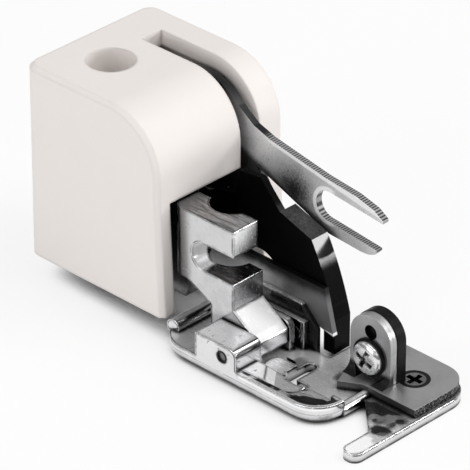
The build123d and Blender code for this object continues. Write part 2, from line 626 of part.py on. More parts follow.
def sole_wing():
    """Flat wing on the right that carries the guide, with the finger in front of the toe."""
    wing = outline(
        (FINGER_ROOT, WING_FRONT + FINGER_WIDTH), (FINGER_TIP, WING_FRONT + FINGER_WIDTH),
        (FINGER_TIP, WING_FRONT), (WING_RIGHT, WING_FRONT), (WING_RIGHT, GUIDE_BACK),
        (WING_RIGHT - 3.2, WING_BACK), (SOLE_RIGHT - 1, WING_BACK), (SOLE_RIGHT - 1, SOLE_FRONT + 1),
        (BEAD_RIGHT, SOLE_FRONT + 0.4),
    )
    for corner in ((FINGER_TIP, WING_FRONT + FINGER_WIDTH), (FINGER_TIP, WING_FRONT)):
        wing = fillet(near_vertex(wing, corner), FINGER_WIDTH * 0.45)
    wing = fillet(near_vertex(wing, (WING_RIGHT, WING_FRONT)), GUIDE_ROUND)
    return layer(wing, 0, SOLE_FLOOR)


def needle_opening():
    """Slot that the needle passes, with its notch at the front left."""
    middle = (NEEDLE_LEFT + NEEDLE_RIGHT) / 2
    slot = Pos(middle, NEEDLE_Y) * SlotOverall(NEEDLE_RIGHT - NEEDLE_LEFT, NEEDLE_OPENING)
    notch = Pos(NEEDLE_LEFT, NEEDLE_Y - NEEDLE_OPENING) * Rectangle(NEEDLE_OPENING, NEEDLE_OPENING * 1.5)
    return slot + notch


def sole():
    """Chrome shoe: rolled hull, hinge block and cheek, needle opening, wing and front finger."""
    body = sole_hull() + sole_wing()
    cheek_block = block(SOLE_LEFT, BLOCK_RIGHT, BLOCK_FRONT, BLOCK_BACK, SOLE_ROLL, BLOCK_TOP)
    front_top = cheek_block.edges().filter_by(Axis.X).group_by(Axis.Z)[-1].sort_by(Axis.Y)[0]
    body += fillet(front_top, BLOCK_ROUND)
    cheek = outline(
        (CHEEK_BACK, SOLE_FLOOR / 2), (CHEEK_BACK, CHEEK_TOP), (CHEEK_FRONT, CHEEK_TOP),
        (CHEEK_FRONT, SOLE_FLOOR / 2),
    )
    cheek = fillet(near_vertex(cheek, (CHEEK_FRONT, CHEEK_TOP)), BLOCK_ROUND)
    body += slab(cheek, CHEEK_LEFT, CHEEK_LEFT + CHEEK_THICK)
    body += block(
        KNIFE_SEAT_LEFT, SOLE_RIGHT, FIXED_KNIFE_FRONT + 1.5, FIXED_KNIFE_BACK, SOLE_FLOOR / 2, KNIFE_SEAT_TOP
    )
    body += rod((SOLE_FRONT, BEAD_Z), BEAD_RADIUS, TOE_RIGHT, BEAD_RIGHT)
    body += rod(LIP_CENTRE, LIP_RADIUS, LIP_LEFT, LIP_RIGHT)
    pad = layer(spot(PAD_CENTRE, PAD_RADIUS), SOLE_FLOOR / 2, PAD_TOP)
    slit = THREAD_SLIT_WIDTH / 2
    pad -= block(
        THREAD_SLIT_X - slit, THREAD_SLIT_X + slit, NEEDLE_Y, THREAD_SLIT_BACK, SOLE_FLOOR, PAD_TOP + 1
    )
    body += pad
    body -= layer(needle_opening(), -1, SHELF_TOP + 1)
    body -= rod(SOLE_PIVOT, HINGE_PIN_DIAMETER / 2, SOLE_LEFT - 1, CHEEK_LEFT + CHEEK_THICK)
    for y in FIXED_RIVETS_Y:
        body -= rod((y, FIXED_RIVET_Z), RIVET_DIAMETER / 2, KNIFE_SEAT_LEFT, SOLE_RIGHT + 1)
    body -= layer(spot((FLAT_SCREW_X, FLAT_SCREW_Y), FLAT_SCREW_DIAMETER / 2), -1, SOLE_FLOOR + 1)
    return body


def hinge_pin():
    """Pin that the sole rocks on."""
    return rod(SOLE_PIVOT, HINGE_PIN_DIAMETER / 2, SOLE_LEFT + 0.2, CHEEK_LEFT + CHEEK_THICK)


def under_guide():
    """Block below the guide plate's top, at the tab, that is cut off what stands there."""
    return Pos(TAB_Y, GUIDE_TOP - NUT_RADIUS) * Rectangle(NUT_RADIUS * 4, NUT_RADIUS * 2)


def tab_face(radius):
    """Round-topped upright outline that stands on the guide plate."""
    return spot((TAB_Y, TAB_CENTRE_Z), radius) + outline(
        (TAB_Y - radius, TAB_CENTRE_Z), (TAB_Y - radius, GUIDE_TOP), (TAB_Y + radius, GUIDE_TOP),
        (TAB_Y + radius, TAB_CENTRE_Z),
    ) - under_guide()


def guide_plate():
    """Grey sheet on the wing, with an upright tab at its left side."""
    plan = outline(
        (EAR_LEFT - 0.4, GUIDE_BACK), GUIDE_CORNER, (GUIDE_LEFT, GUIDE_STEP), (GUIDE_LEFT, GUIDE_FRONT),
        (GUIDE_RIGHT, GUIDE_FRONT), (GUIDE_RIGHT, GUIDE_BACK - 1.5), (GUIDE_RIGHT - 1.5, GUIDE_BACK),
    )
    plan = fillet(near_vertex(plan, (GUIDE_RIGHT, GUIDE_FRONT)), GUIDE_ROUND)
    plate = layer(plan, SOLE_FLOOR, GUIDE_TOP)
    tab = tab_face(TAB_RADIUS) - spot((TAB_Y, PAN_SCREW_Z), PAN_SCREW_DIAMETER / 2)
    plate += slab(tab, TAB_LEFT, NUT_LEFT)
    plate -= flat_screw_blank()
    return plate


def ear_plate():
    """Grey plate screwed on the tab, with its small upper hole and the bend at its foot."""
    face = tab_face(TAB_RADIUS)
    plate = slab(face, EAR_LEFT, TAB_LEFT)
    bend = outline(
        (EAR_LEFT, GUIDE_TOP), (EAR_LEFT, GUIDE_TOP + EAR_BEND), (EAR_LEFT - EAR_BEND, GUIDE_TOP + EAR_BEND),
        (EAR_LEFT - EAR_BEND, GUIDE_TOP),
    ) - spot((EAR_LEFT - EAR_BEND, GUIDE_TOP + EAR_BEND), EAR_BEND)
    plate += ridge(bend, TAB_Y - TAB_RADIUS, TAB_Y + TAB_RADIUS)
    plate -= rod((TAB_Y, EAR_HOLE_Z), EAR_HOLE_DIAMETER / 2, EAR_LEFT - 1, TAB_LEFT + 1)
    plate -= rod((TAB_Y, PAN_SCREW_Z), PAN_SCREW_DIAMETER / 2, EAR_LEFT - 1, TAB_LEFT + 1)
    plate -= rod((TAB_Y, PAN_SCREW_Z), WASHER_DIAMETER / 2 + TOUCH_GAP, EAR_LEFT - EAR_BEND - 1, EAR_LEFT)
    return plate


def nut_plate():
    """Black threaded plate behind the tab."""
    face = tab_face(NUT_RADIUS) - spot((TAB_Y, PAN_SCREW_Z), PAN_SCREW_DIAMETER / 2)
    return slab(face, NUT_LEFT, NUT_LEFT + NUT_THICK)


def pan_washer():
    """Washer under the pan head."""
    ring = spot((TAB_Y, PAN_SCREW_Z), WASHER_DIAMETER / 2) - spot((TAB_Y, PAN_SCREW_Z), PAN_SCREW_DIAMETER / 2)
    ring -= under_guide()
    return slab(ring, EAR_LEFT - WASHER_THICK, EAR_LEFT)


def pan_screw():
    """Cross-recessed pan-head screw along X."""
    seat = EAR_LEFT - WASHER_THICK
    centre = (TAB_Y, PAN_SCREW_Z)
    head = rod(centre, PAN_HEAD_DIAMETER / 2, seat - PAN_HEAD_HEIGHT, seat)
    head = chamfer(head.edges().group_by(Axis.X)[0], PAN_HEAD_HEIGHT * 0.5, PAN_HEAD_HEIGHT)
    stem = rod(centre, PAN_SCREW_DIAMETER / 2, seat, NUT_LEFT + NUT_THICK)
    arm = PAN_HEAD_DIAMETER * 0.58
    slots = Pos(*centre) * (Rectangle(arm, CROSS_WIDTH) + Rectangle(CROSS_WIDTH, arm))
    face = seat - PAN_HEAD_HEIGHT
    return head + stem - slab(slots, face - 1, face + CROSS_DEPTH)


def flat_screw_blank():
    """Countersunk head and stem before the recess is cut."""
    depth = (FLAT_HEAD_DIAMETER - FLAT_SCREW_DIAMETER) / 2
    cone = Pos(FLAT_SCREW_X, FLAT_SCREW_Y, GUIDE_TOP - depth) * Cone(
        FLAT_SCREW_DIAMETER / 2, FLAT_HEAD_DIAMETER / 2, depth, align=(Align.CENTER, Align.CENTER, Align.MIN)
    )
    return cone + layer(spot((FLAT_SCREW_X, FLAT_SCREW_Y), FLAT_SCREW_DIAMETER / 2), 0, GUIDE_TOP)


def flat_screw():
    """Black countersunk screw of the guide plate."""
    arm = FLAT_HEAD_DIAMETER * 0.62
    slots = Pos(FLAT_SCREW_X, FLAT_SCREW_Y) * (Rectangle(arm, CROSS_WIDTH) + Rectangle(CROSS_WIDTH, arm))
    return flat_screw_blank() - layer(slots, GUIDE_TOP - CROSS_DEPTH * 0.7, GUIDE_TOP + 1)


PARTS = {
    "housing": housing(),
    "housing_screw": housing_screw(),
    "shank": shank(),
    "fork_shaft": cross_shaft(FORK_PIVOT),
    "fork_spacer": spacer(FORK_PIVOT, CAVITY_LEFT, FORK_BUSH_LEFT - TOUCH_GAP),
    "knife_shaft": cross_shaft(KNIFE_PIVOT),
    "knife_spacer_left": spacer(KNIFE_PIVOT, CAVITY_LEFT, REAR_PLATE_LEFT),
    "knife_spacer_right": spacer(KNIFE_PIVOT, ARM_HUB_RIGHT + TOUCH_GAP, CAVITY_RIGHT),
    "fork_plate": fork_plate(),
    "fork_bush": fork_bush(),
    "crank_pin": crank_pin(),
    "knife_arm": knife_arm(),
    "moving_knife": moving_knife(),
    "knife_rivets": knife_rivets(),
    "sole": sole(),
    "hinge_pin": hinge_pin(),
    "fixed_knife": fixed_knife(),
    "fixed_knife_rivets": fixed_knife_rivets(),
    "guide_plate": guide_plate(),
    "ear_plate": ear_plate(),
    "nut_plate": nut_plate(),
    "pan_washer": pan_washer(),
    "pan_screw": pan_screw(),
    "flat_screw": flat_screw(),
}

for name, solid in PARTS.items():
    export_step(solid, f"parts/{name}.step")
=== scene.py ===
"""Looks of a low-shank side-cutter presser foot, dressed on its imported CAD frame."""

from __future__ import annotations

import logging
import math
from abc import ABC, abstractmethod
from dataclasses import dataclass
from enum import Enum
from typing import Any, ClassVar, Union

import bpy
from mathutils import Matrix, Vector

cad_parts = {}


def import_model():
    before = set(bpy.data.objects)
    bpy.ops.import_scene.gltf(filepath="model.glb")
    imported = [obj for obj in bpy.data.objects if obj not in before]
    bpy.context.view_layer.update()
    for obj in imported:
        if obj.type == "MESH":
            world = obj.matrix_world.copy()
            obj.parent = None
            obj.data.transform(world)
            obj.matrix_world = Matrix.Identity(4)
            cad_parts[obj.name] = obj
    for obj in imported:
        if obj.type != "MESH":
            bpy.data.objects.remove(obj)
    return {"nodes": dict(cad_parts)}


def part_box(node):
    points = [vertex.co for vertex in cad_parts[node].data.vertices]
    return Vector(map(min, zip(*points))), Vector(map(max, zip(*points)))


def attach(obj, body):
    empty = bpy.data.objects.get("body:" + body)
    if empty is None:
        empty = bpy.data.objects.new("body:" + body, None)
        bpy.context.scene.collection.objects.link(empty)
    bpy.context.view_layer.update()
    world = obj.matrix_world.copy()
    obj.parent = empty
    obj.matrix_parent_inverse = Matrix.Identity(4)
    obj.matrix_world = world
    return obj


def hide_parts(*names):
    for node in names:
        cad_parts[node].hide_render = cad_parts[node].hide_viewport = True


LOG = logging.getLogger("presser_foot")
MM = 0.001
NOISE_MIDDLE = 0.5
BEVEL_SAMPLES = 6
BRINK_SAMPLES = 8
HOLLOW_SAMPLES = 8
STREAK_SPAN = (0.62, 0.9)
WHITE = (1.0, 1.0, 1.0, 1.0)

Object = bpy.types.Object
Number = Union[int, float]
Colour = tuple[float, float, float]
Point = tuple[float, float, float]
Spot = tuple[float, float]
Span = tuple[float, float]


class Axis(Enum):
    """Axis of the part's own frame."""

    X = 0
    Y = 1
    Z = 2


class Ray(Enum):
    """Kind of light path that is shown white surroundings."""

    CAMERA = "Is Camera Ray"
    MIRROR = "Is Glossy Ray"
    THROUGH = "Is Transmission Ray"


class Ending(Enum):
    """Output node that closes a tree."""

    MATERIAL = "ShaderNodeOutputMaterial"
    WORLD = "ShaderNodeOutputWorld"


@dataclass(frozen=True)
class Grain:
    """One kind of smooth noise: where its patches set in, its stretch, and its reach as a shift."""

    scale: float
    detail: float
    rough: float
    patch: Span = (0.0, 1.0)
    stretch: Point = (1.0, 1.0, 1.0)
    reach: float = 1.0


class Signal:
    """One output socket of a shader tree, with arithmetic that adds Math nodes."""

    def __init__(self, graph: Graph, socket: bpy.types.NodeSocket) -> None:
        """Wraps a socket of the graph."""
        self.graph = graph
        self.socket = socket

    def _math(self, operation: str, *operands: Operand) -> Signal:
        """Adds one Math node and gives its result."""
        return self.graph.node("ShaderNodeMath", {"operation": operation}, dict(enumerate(operands)))

    def __add__(self, other: Operand) -> Signal:
        """Signal plus other."""
        return self._math("ADD", self, other)

    __radd__ = __add__

    def __sub__(self, other: Operand) -> Signal:
        """Signal minus other."""
        return self._math("SUBTRACT", self, other)

    def __rsub__(self, other: Number) -> Signal:
        """Number minus signal."""
        return self._math("SUBTRACT", other, self)

    def __mul__(self, other: Operand) -> Signal:
        """Signal times other."""
        return self._math("MULTIPLY", self, other)

    __rmul__ = __mul__

    def size(self) -> Signal:
        """The signal without its sign."""
        return self._math("ABSOLUTE", self)

    def sine(self) -> Signal:
        """Sine of the signal in radians."""
        return self._math("SINE", self)

    def root(self) -> Signal:
        """Square root of the signal."""
        return self._math("SQRT", self)

    def most(self, other: Operand) -> Signal:
        """The larger of the signal and other."""
        return self._math("MAXIMUM", self, other)

    def least(self, other: Operand) -> Signal:
        """The smaller of the signal and other."""
        return self._math("MINIMUM", self, other)


Operand = Union[Signal, Number]
Tint = Union[Signal, Colour]
Coat = tuple[Signal, Tint]


class Graph:
    """Shader tree of one material or world, built node by node."""

    def __init__(self, tree: bpy.types.NodeTree) -> None:
        """Empties the tree and keeps it."""
        self.tree = tree
        tree.nodes.clear()

    def node(
        self,
        kind: str,
        settings: dict[str, Any] | None = None,
        sockets: dict[int | str, Any] | None = None,
        output: int | str = 0,
    ) -> Signal:
        """Adds a node.

        Args:
            kind: Blender's name of the node type.
            settings: Properties of the node, set before its sockets.
            sockets: Values or signals for the input sockets, by index or name.
            output: Output socket that the signal is taken from.

        Returns:
            The chosen output socket as a signal.
        """
        made = self.tree.nodes.new(kind)
        for name, value in (settings or {}).items():
            setattr(made, name, value)
        for key, value in (sockets or {}).items():
            if isinstance(value, Signal):
                self.tree.links.new(value.socket, made.inputs[key])
            else:
                made.inputs[key].default_value = value
        return Signal(self, made.outputs[output] if made.outputs else made.inputs[0])

    def place_mm(self, scale: Point = (1.0, 1.0, 1.0)) -> Signal:
        """Object coordinates in millimetres, stretched by the scale."""
        raw = self.node("ShaderNodeTexCoord", output="Object")
        factors = tuple(value / MM for value in scale)
        return self.node("ShaderNodeVectorMath", {"operation": "MULTIPLY"}, {0: raw, 1: factors})

    def along(self, axis: Axis) -> Signal:
        """Object coordinate along one axis, in millimetres."""
        return self.node("ShaderNodeSeparateXYZ", None, {0: self.place_mm()}, output=axis.value)

    def facing(self, axis: Axis) -> Signal:
        """How far the surface faces along one axis of the piece, from -1 to 1."""
        raw = self.node("ShaderNodeTexCoord", output="Normal")
        return self.node("ShaderNodeSeparateXYZ", None, {0: raw}, output=axis.value)

    def away(self, spot: Spot) -> Signal:
        """Distance in millimetres from a line along X through this Y and Z."""
        off_y, off_z = self.along(Axis.Y) - spot[0], self.along(Axis.Z) - spot[1]
        return (off_y * off_y + off_z * off_z).root()

    def rise(self, value: Signal, span: Span) -> Signal:
        """Smooth step from 0 at the span's start to 1 at its end, which may be the smaller of the two."""
        low, high = span
        if high < low:
            return 1.0 - self.rise(value, (high, low))
        sockets = {"Value": value, "From Min": low, "From Max": high}
        return self.node("ShaderNodeMapRange", {"interpolation_type": "SMOOTHSTEP"}, sockets)

    def beyond(self, axis: Axis, span: Span) -> Signal:
        """Smooth step along one axis, with the span in millimetres."""
        return self.rise(self.along(axis), span)

    def turned(self, axis: Axis, span: Span) -> Signal:
        """Smooth step over how far the surface faces along one axis."""
        return self.rise(self.facing(axis), span)

    def noise(self, grain: Grain) -> Signal:
        """Smooth noise of the grain's kind, between about 0.2 and 0.8."""
        place = self.place_mm(grain.stretch)
        sockets = {"Vector": place, "Scale": grain.scale, "Detail": grain.detail, "Roughness": grain.rough}
        return self.node("ShaderNodeTexNoise", {"noise_dimensions": "3D"}, sockets)

    def patches(self, grain: Grain) -> Signal:
        """Patches of the grain's kind, 0 between them and 1 in them."""
        return self.rise(self.noise(grain), grain.patch)

    def wander(self, grain: Grain) -> Signal:
        """Noise round zero that makes a border or a level uneven."""
        return grain.reach * (self.noise(grain) - NOISE_MIDDLE)

    def streaks(self) -> Signal:
        """Curling streaks, 0 between them and 1 on them."""
        settings = {"wave_type": "BANDS", "bands_direction": "DIAGONAL", "wave_profile": "SIN"}
        sockets = {"Scale": 0.11, "Distortion": 9.0, "Detail": 3.0, "Detail Scale": 1.6}
        sockets["Vector"] = self.place_mm()
        return self.rise(self.node("ShaderNodeTexWave", settings, sockets, output="Fac"), STREAK_SPAN)

    def mix(self, factor: Operand, first: Tint, second: Tint) -> Signal:
        """Mix of two colours by the factor."""
        ends = [end if isinstance(end, Signal) else (*end, 1.0) for end in (first, second)]
        sockets = {0: factor, 6: ends[0], 7: ends[1]}
        return self.node("ShaderNodeMix", {"data_type": "RGBA"}, sockets, output=2)

    def paint(self, colour: Signal, coats: list[Coat]) -> Signal:
        """Colour with coats laid over it in turn, each by its own mask."""
        for mask, coat in coats:
            colour = self.mix(mask, colour, coat)
        return colour

    def bump(self, height: Signal, depth_mm: float, edge_mm: float) -> Signal:
        """Normal of a height field that is depth_mm deep, with edges rounded by edge_mm."""
        edge = self.node("ShaderNodeBevel", {"samples": BEVEL_SAMPLES}, {"Radius": edge_mm * MM})
        sockets = {"Strength": 1.0, "Distance": depth_mm * MM, "Height": height, "Normal": edge}
        return self.node("ShaderNodeBump", None, sockets)

    def hollow(self, reach_mm: float, span: Span, samples: int = HOLLOW_SAMPLES) -> Signal:
        """Smooth step over how open a spot is, which is 0 deep in a crevice and 1 on open ground."""
        sockets = {"Distance": reach_mm * MM}
        return self.rise(self.node("ShaderNodeAmbientOcclusion", {"samples": samples}, sockets, "AO"), span)

    def brink(self, reach_mm: float) -> Signal:
        """Nearness of an edge: 0 on a flat face, and about 0.3 on a square edge."""
        soft = self.node("ShaderNodeBevel", {"samples": BRINK_SAMPLES}, {"Radius": reach_mm * MM})
        hard = self.node("ShaderNodeNewGeometry", output="Normal")
        dot = {"operation": "DOT_PRODUCT"}
        return 1.0 - self.node("ShaderNodeVectorMath", dot, {0: soft, 1: hard}, output="Value")

    def shown(self) -> Signal:
        """1 for camera, mirror and transmission rays, and 0 for the rest."""
        camera, mirror, through = (self.node("ShaderNodeLightPath", output=ray.value) for ray in Ray)
        return camera.most(mirror).most(through)

    def mix_shader(self, factor: Signal, first: Signal, second: Signal) -> Signal:
        """Mix of two shaders by the factor."""
        return self.node("ShaderNodeMixShader", None, {0: factor, 1: first, 2: second})

    def close(self, shader: Signal, ending: Ending = Ending.MATERIAL) -> None:
        """Closes the tree with an output node."""
        self.node(ending.value, None, {"Surface": shader})

    def surface(self, sockets: dict[str, Any]) -> None:
        """Closes the tree with a Principled shader that has these sockets."""
        self.close(self.node("ShaderNodeBsdfPrincipled", None, sockets))


def grey(value: float, cast: float = 0.005) -> Colour:
    """Grey with a slight cold cast."""
    return (value, value, value + cast)


def new_material(name: str) -> tuple[bpy.types.Material, Graph]:
    """New material with its empty tree."""
    made = bpy.data.materials.new(name)
    made.use_nodes = True
    return made, Graph(made.node_tree)


def new_object(name: str, data: bpy.types.ID) -> Object:
    """New object with this data, in the scene."""
    made = bpy.data.objects.new(name, data)
    bpy.context.collection.objects.link(made)
    return made


def look_along(thing: Object, way: Vector) -> None:
    """Turns a camera or a lamp so that it looks this way."""
    thing.rotation_mode = "QUATERNION"
    thing.rotation_quaternion = way.to_track_quat("-Z", "Y")


class Finish(ABC):
    """A finish that can be turned into a material."""

    name: str

    def material(self) -> bpy.types.Material:
        """Material of this finish, made once.

        Returns:
            The Blender material, shared by all the pieces with this finish.
        """
        known = bpy.data.materials.get(self.name)
        if known is None:
            known, graph = new_material(self.name)
            self.draw(graph)
        return known

    @abstractmethod
    def draw(self, graph: Graph) -> None:
        """Draws the finish into an empty tree."""


@dataclass(frozen=True)
class WhiteMoulding(Finish):
    """Off-white moulded plastic with fine grain, faint flow mottling and rubbed patches."""

    name: str
    colour: Colour
    shade: Colour
    roughness: float = 0.5
    sheen: float = 0.35
    edge_mm: float = 0.6
    grain: Grain = Grain(7.0, 2.0, 0.6, reach=0.14)
    grain_depth: float = 0.010
    flow: Grain = Grain(0.11, 3.0, 0.55)
    flow_share: float = 0.75
    speck: Grain = Grain(2.3, 3.0, 0.6)
    speck_share: float = 0.35
    speck_height: float = 0.6
    rub: Grain = Grain(0.35, 4.0, 0.62, (0.5, 0.72))
    rub_polish: float = 0.09

    def draw(self, graph: Graph) -> None:
        """Draws grain, mottling and slightly polished rub marks.

        Args:
            graph: Empty tree that the nodes go into.
        """
        speck = graph.noise(self.speck)
        blend = self.flow_share * graph.noise(self.flow) + self.speck_share * speck
        rough = self.roughness + graph.wander(self.grain)
        height = graph.noise(self.grain) + self.speck_height * speck
        graph.surface({
            "Base Color": graph.mix(blend, self.colour, self.shade),
            "Roughness": rough - self.rub_polish * graph.patches(self.rub),
            "Specular IOR Level": self.sheen,
            "Normal": graph.bump(height, self.grain_depth, self.edge_mm),
        })


@dataclass(frozen=True)
class BlackMoulding(Finish):
    """Deep black moulded plastic with grained grey mottling painted on the rim's upward faces as a painted
    sheen, and a gloss on the rim.
    """

    name: str
    colour: Colour = grey(0.0006, 0.0)
    roughness: float = 0.52
    sheen: float = 0.05
    edge_mm: float = 0.25
    grain: Grain = Grain(5.0, 4.0, 0.7, reach=0.22)
    grain_depth: float = 0.012
    rim_facing_x: Span = (0.7, 0.2)
    rim_y: Span = (-3.6, -4.6)
    rim_polish: float = 0.10
    # Painted sheen: lighter grey laid on the rim's upward faces, mottled by the grain.
    skin_sheen: Colour = grey(0.085, 0.001)
    sheen_facing_z: Span = (0.70, 0.86)
    skin_span: Span = (0.35, 0.95)
    cloud: Grain = Grain(0.5, 3.0, 0.6)
    cloud_share: float = 0.4
    gloss_facing_y: Span = (-0.35, -0.75)
    gloss_z: Span = (12.4, 13.4)
    gloss_roughness: float = 0.14

    def draw(self, graph: Graph) -> None:
        """Draws the flat flanks and the horn black, and the rim's narrow faces grained and glossy, with a
        painted sheen of lighter grey where they face up.

        Args:
            graph: Empty tree that the nodes go into.
        """
        grain = graph.noise(self.grain)
        rim = graph.rise(graph.facing(Axis.X).size(), self.rim_facing_x) * graph.beyond(Axis.Y, self.rim_y)
        mottle = graph.rise(grain + self.cloud_share * graph.noise(self.cloud), self.skin_span)
        # Painted sheen on the rim's faces that look up, broken by the grain's mottling.
        skin_sheen = rim * graph.turned(Axis.Z, self.sheen_facing_z) * mottle
        steep = graph.turned(Axis.Y, self.gloss_facing_y)
        rough = self.roughness + graph.wander(self.grain)
        graph.surface({
            "Base Color": graph.mix(skin_sheen, self.colour, self.skin_sheen),
            "Roughness": rough - self.rim_polish * rim,
            "Specular IOR Level": self.sheen,
            "Coat Weight": rim * steep * graph.beyond(Axis.Z, self.gloss_z),
            "Coat Roughness": self.gloss_roughness,
            "Normal": graph.bump(grain, self.grain_depth, self.edge_mm),
        })


@dataclass(frozen=True)
class PlatedMetal(Finish):
    """Plated or polished metal with brush lines under the plate, smudges, pits and hairline scratches."""

    name: str
    colour: Colour
    shade: Colour
    roughness: float
    brushed: Axis = Axis.Y
    brush_scale: float = 9.0
    brush_depth: float = 0.002
    smudge: float = 0.10
    wave_depth: float = 0.0
    pits: float = 0.0
    metallic: float = 1.0
    edge_mm: float = 0.12
    least_roughness: float = 0.03
    line_stretch: float = 0.04
    line_shade: float = 0.55
    line_rough: float = 0.10
    cloud: Grain = Grain(0.28, 4.0, 0.6, (0.42, 0.70))
    cloud_shade: float = 0.35
    scratch: Grain = Grain(5.0, 1.0, 0.4, (0.66, 0.70), (0.9, 0.12, 0.35))
    scratch_depth: float = 0.35
    scratch_rough: float = 0.12
    pit: Grain = Grain(1.5, 2.0, 0.55, (0.64, 0.72))
    pit_depth: float = 2.0
    pit_colour: Colour = grey(0.05, 0.002)
    wave: Grain = Grain(0.22, 1.0, 0.4)

    def draw(self, graph: Graph) -> None:
        """Draws brush lines, smudges, pits and hairline scratches.

        Args:
            graph: Empty tree that the nodes go into.
        """
        lines = graph.noise(self.lines())
        cloud, scratch = graph.patches(self.cloud), graph.patches(self.scratch)
        pit = graph.patches(self.pit) * self.pits * self.pitted(graph)
        plain = graph.mix(self.line_shade * lines + self.cloud_shade * cloud, self.colour, self.shade)
        height = lines - self.scratch_depth * scratch - self.pit_depth * pit
        if self.wave_depth:
            height = height + (self.wave_depth / self.brush_depth) * graph.noise(self.wave)
        rough = self.roughness + self.smudge * cloud + graph.wander(self.lines())
        rough = rough + self.scratch_rough * scratch + self.haze(graph)
        graph.surface({
            "Base Color": graph.paint(plain, [(pit, self.pit_colour), *self.coats(graph)]),
            "Roughness": rough.most(self.least_roughness),
            "Metallic": self.metal(graph),
            "Normal": graph.bump(height, self.brush_depth, self.edge_mm),
        })

    def lines(self) -> Grain:
        """Fine lines that the polishing left along the brushed axis."""
        stretch = tuple(self.line_stretch if axis is self.brushed else 1.0 for axis in Axis)
        return Grain(self.brush_scale, 3.0, 0.7, stretch=stretch, reach=self.line_rough)

    def pitted(self, graph: Graph) -> Operand:
        """Where the pits lie; on plain metal they lie everywhere."""
        return 1.0

    def metal(self, graph: Graph) -> Operand:
        """How metallic the surface is; plain metal is the same everywhere."""
        return self.metallic

    def haze(self, graph: Graph) -> Operand:
        """Roughness that hazy faces have on top of the rest; plain metal has none."""
        return 0.0

    def coats(self, graph: Graph) -> list[Coat]:
        """Coats of colour that are special to the piece, the lowest first; plain metal has none."""
        return []


@dataclass(frozen=True)
class ChromeCasting(PlatedMetal):
    """Chromed casting: painted shade in its creases, painted dark reflection lines beside its edges, and
    faces ground in their own way.
    """

    # Painted reflection: how far from the edges the dark lines beside them reach.
    reflection_line_reach: float = 0.0
    crease_shade_reach: float = 1.0
    crease_shade_span: Span = (0.84, 0.42)
    # Painted shade and painted reflection: the dark laid in the creases and in the lines beside the edges.
    painted_dark: Colour = grey(0.012, 0.001)
    reflection_line_share: float = 0.9
    reflection_line_start: Span = (0.002, 0.014)
    reflection_line_end: Span = (0.17, 0.09)
    reflection_line_patch: Grain = Grain(0.55, 4.0, 0.65, (0.34, 0.50))

    def coats(self, graph: Graph) -> list[Coat]:
        """Coats for the ground faces, the painted dark reflection lines beside the edges and the painted
        shade in the creases.

        Args:
            graph: Tree that the nodes go into.

        Returns:
            The coats, the lowest first.
        """
        coats = self.ground(graph)
        if self.reflection_line_reach:
            # Painted reflection: dark lines just beside the edges, in patches.
            near = graph.brink(self.reflection_line_reach)
            line = graph.rise(near, self.reflection_line_start) * graph.rise(near, self.reflection_line_end)
            coats.append((self.reflection_line_share * (line * graph.patches(self.reflection_line_patch)), self.painted_dark))
        # Painted shade: darker where a spot is enclosed, in creases and between parts.
        return [*coats, (graph.hollow(self.crease_shade_reach, self.crease_shade_span), self.painted_dark)]

    def ground(self, graph: Graph) -> list[Coat]:
        """Coats for the faces that were ground in their own way; a plain casting has none."""
        return []


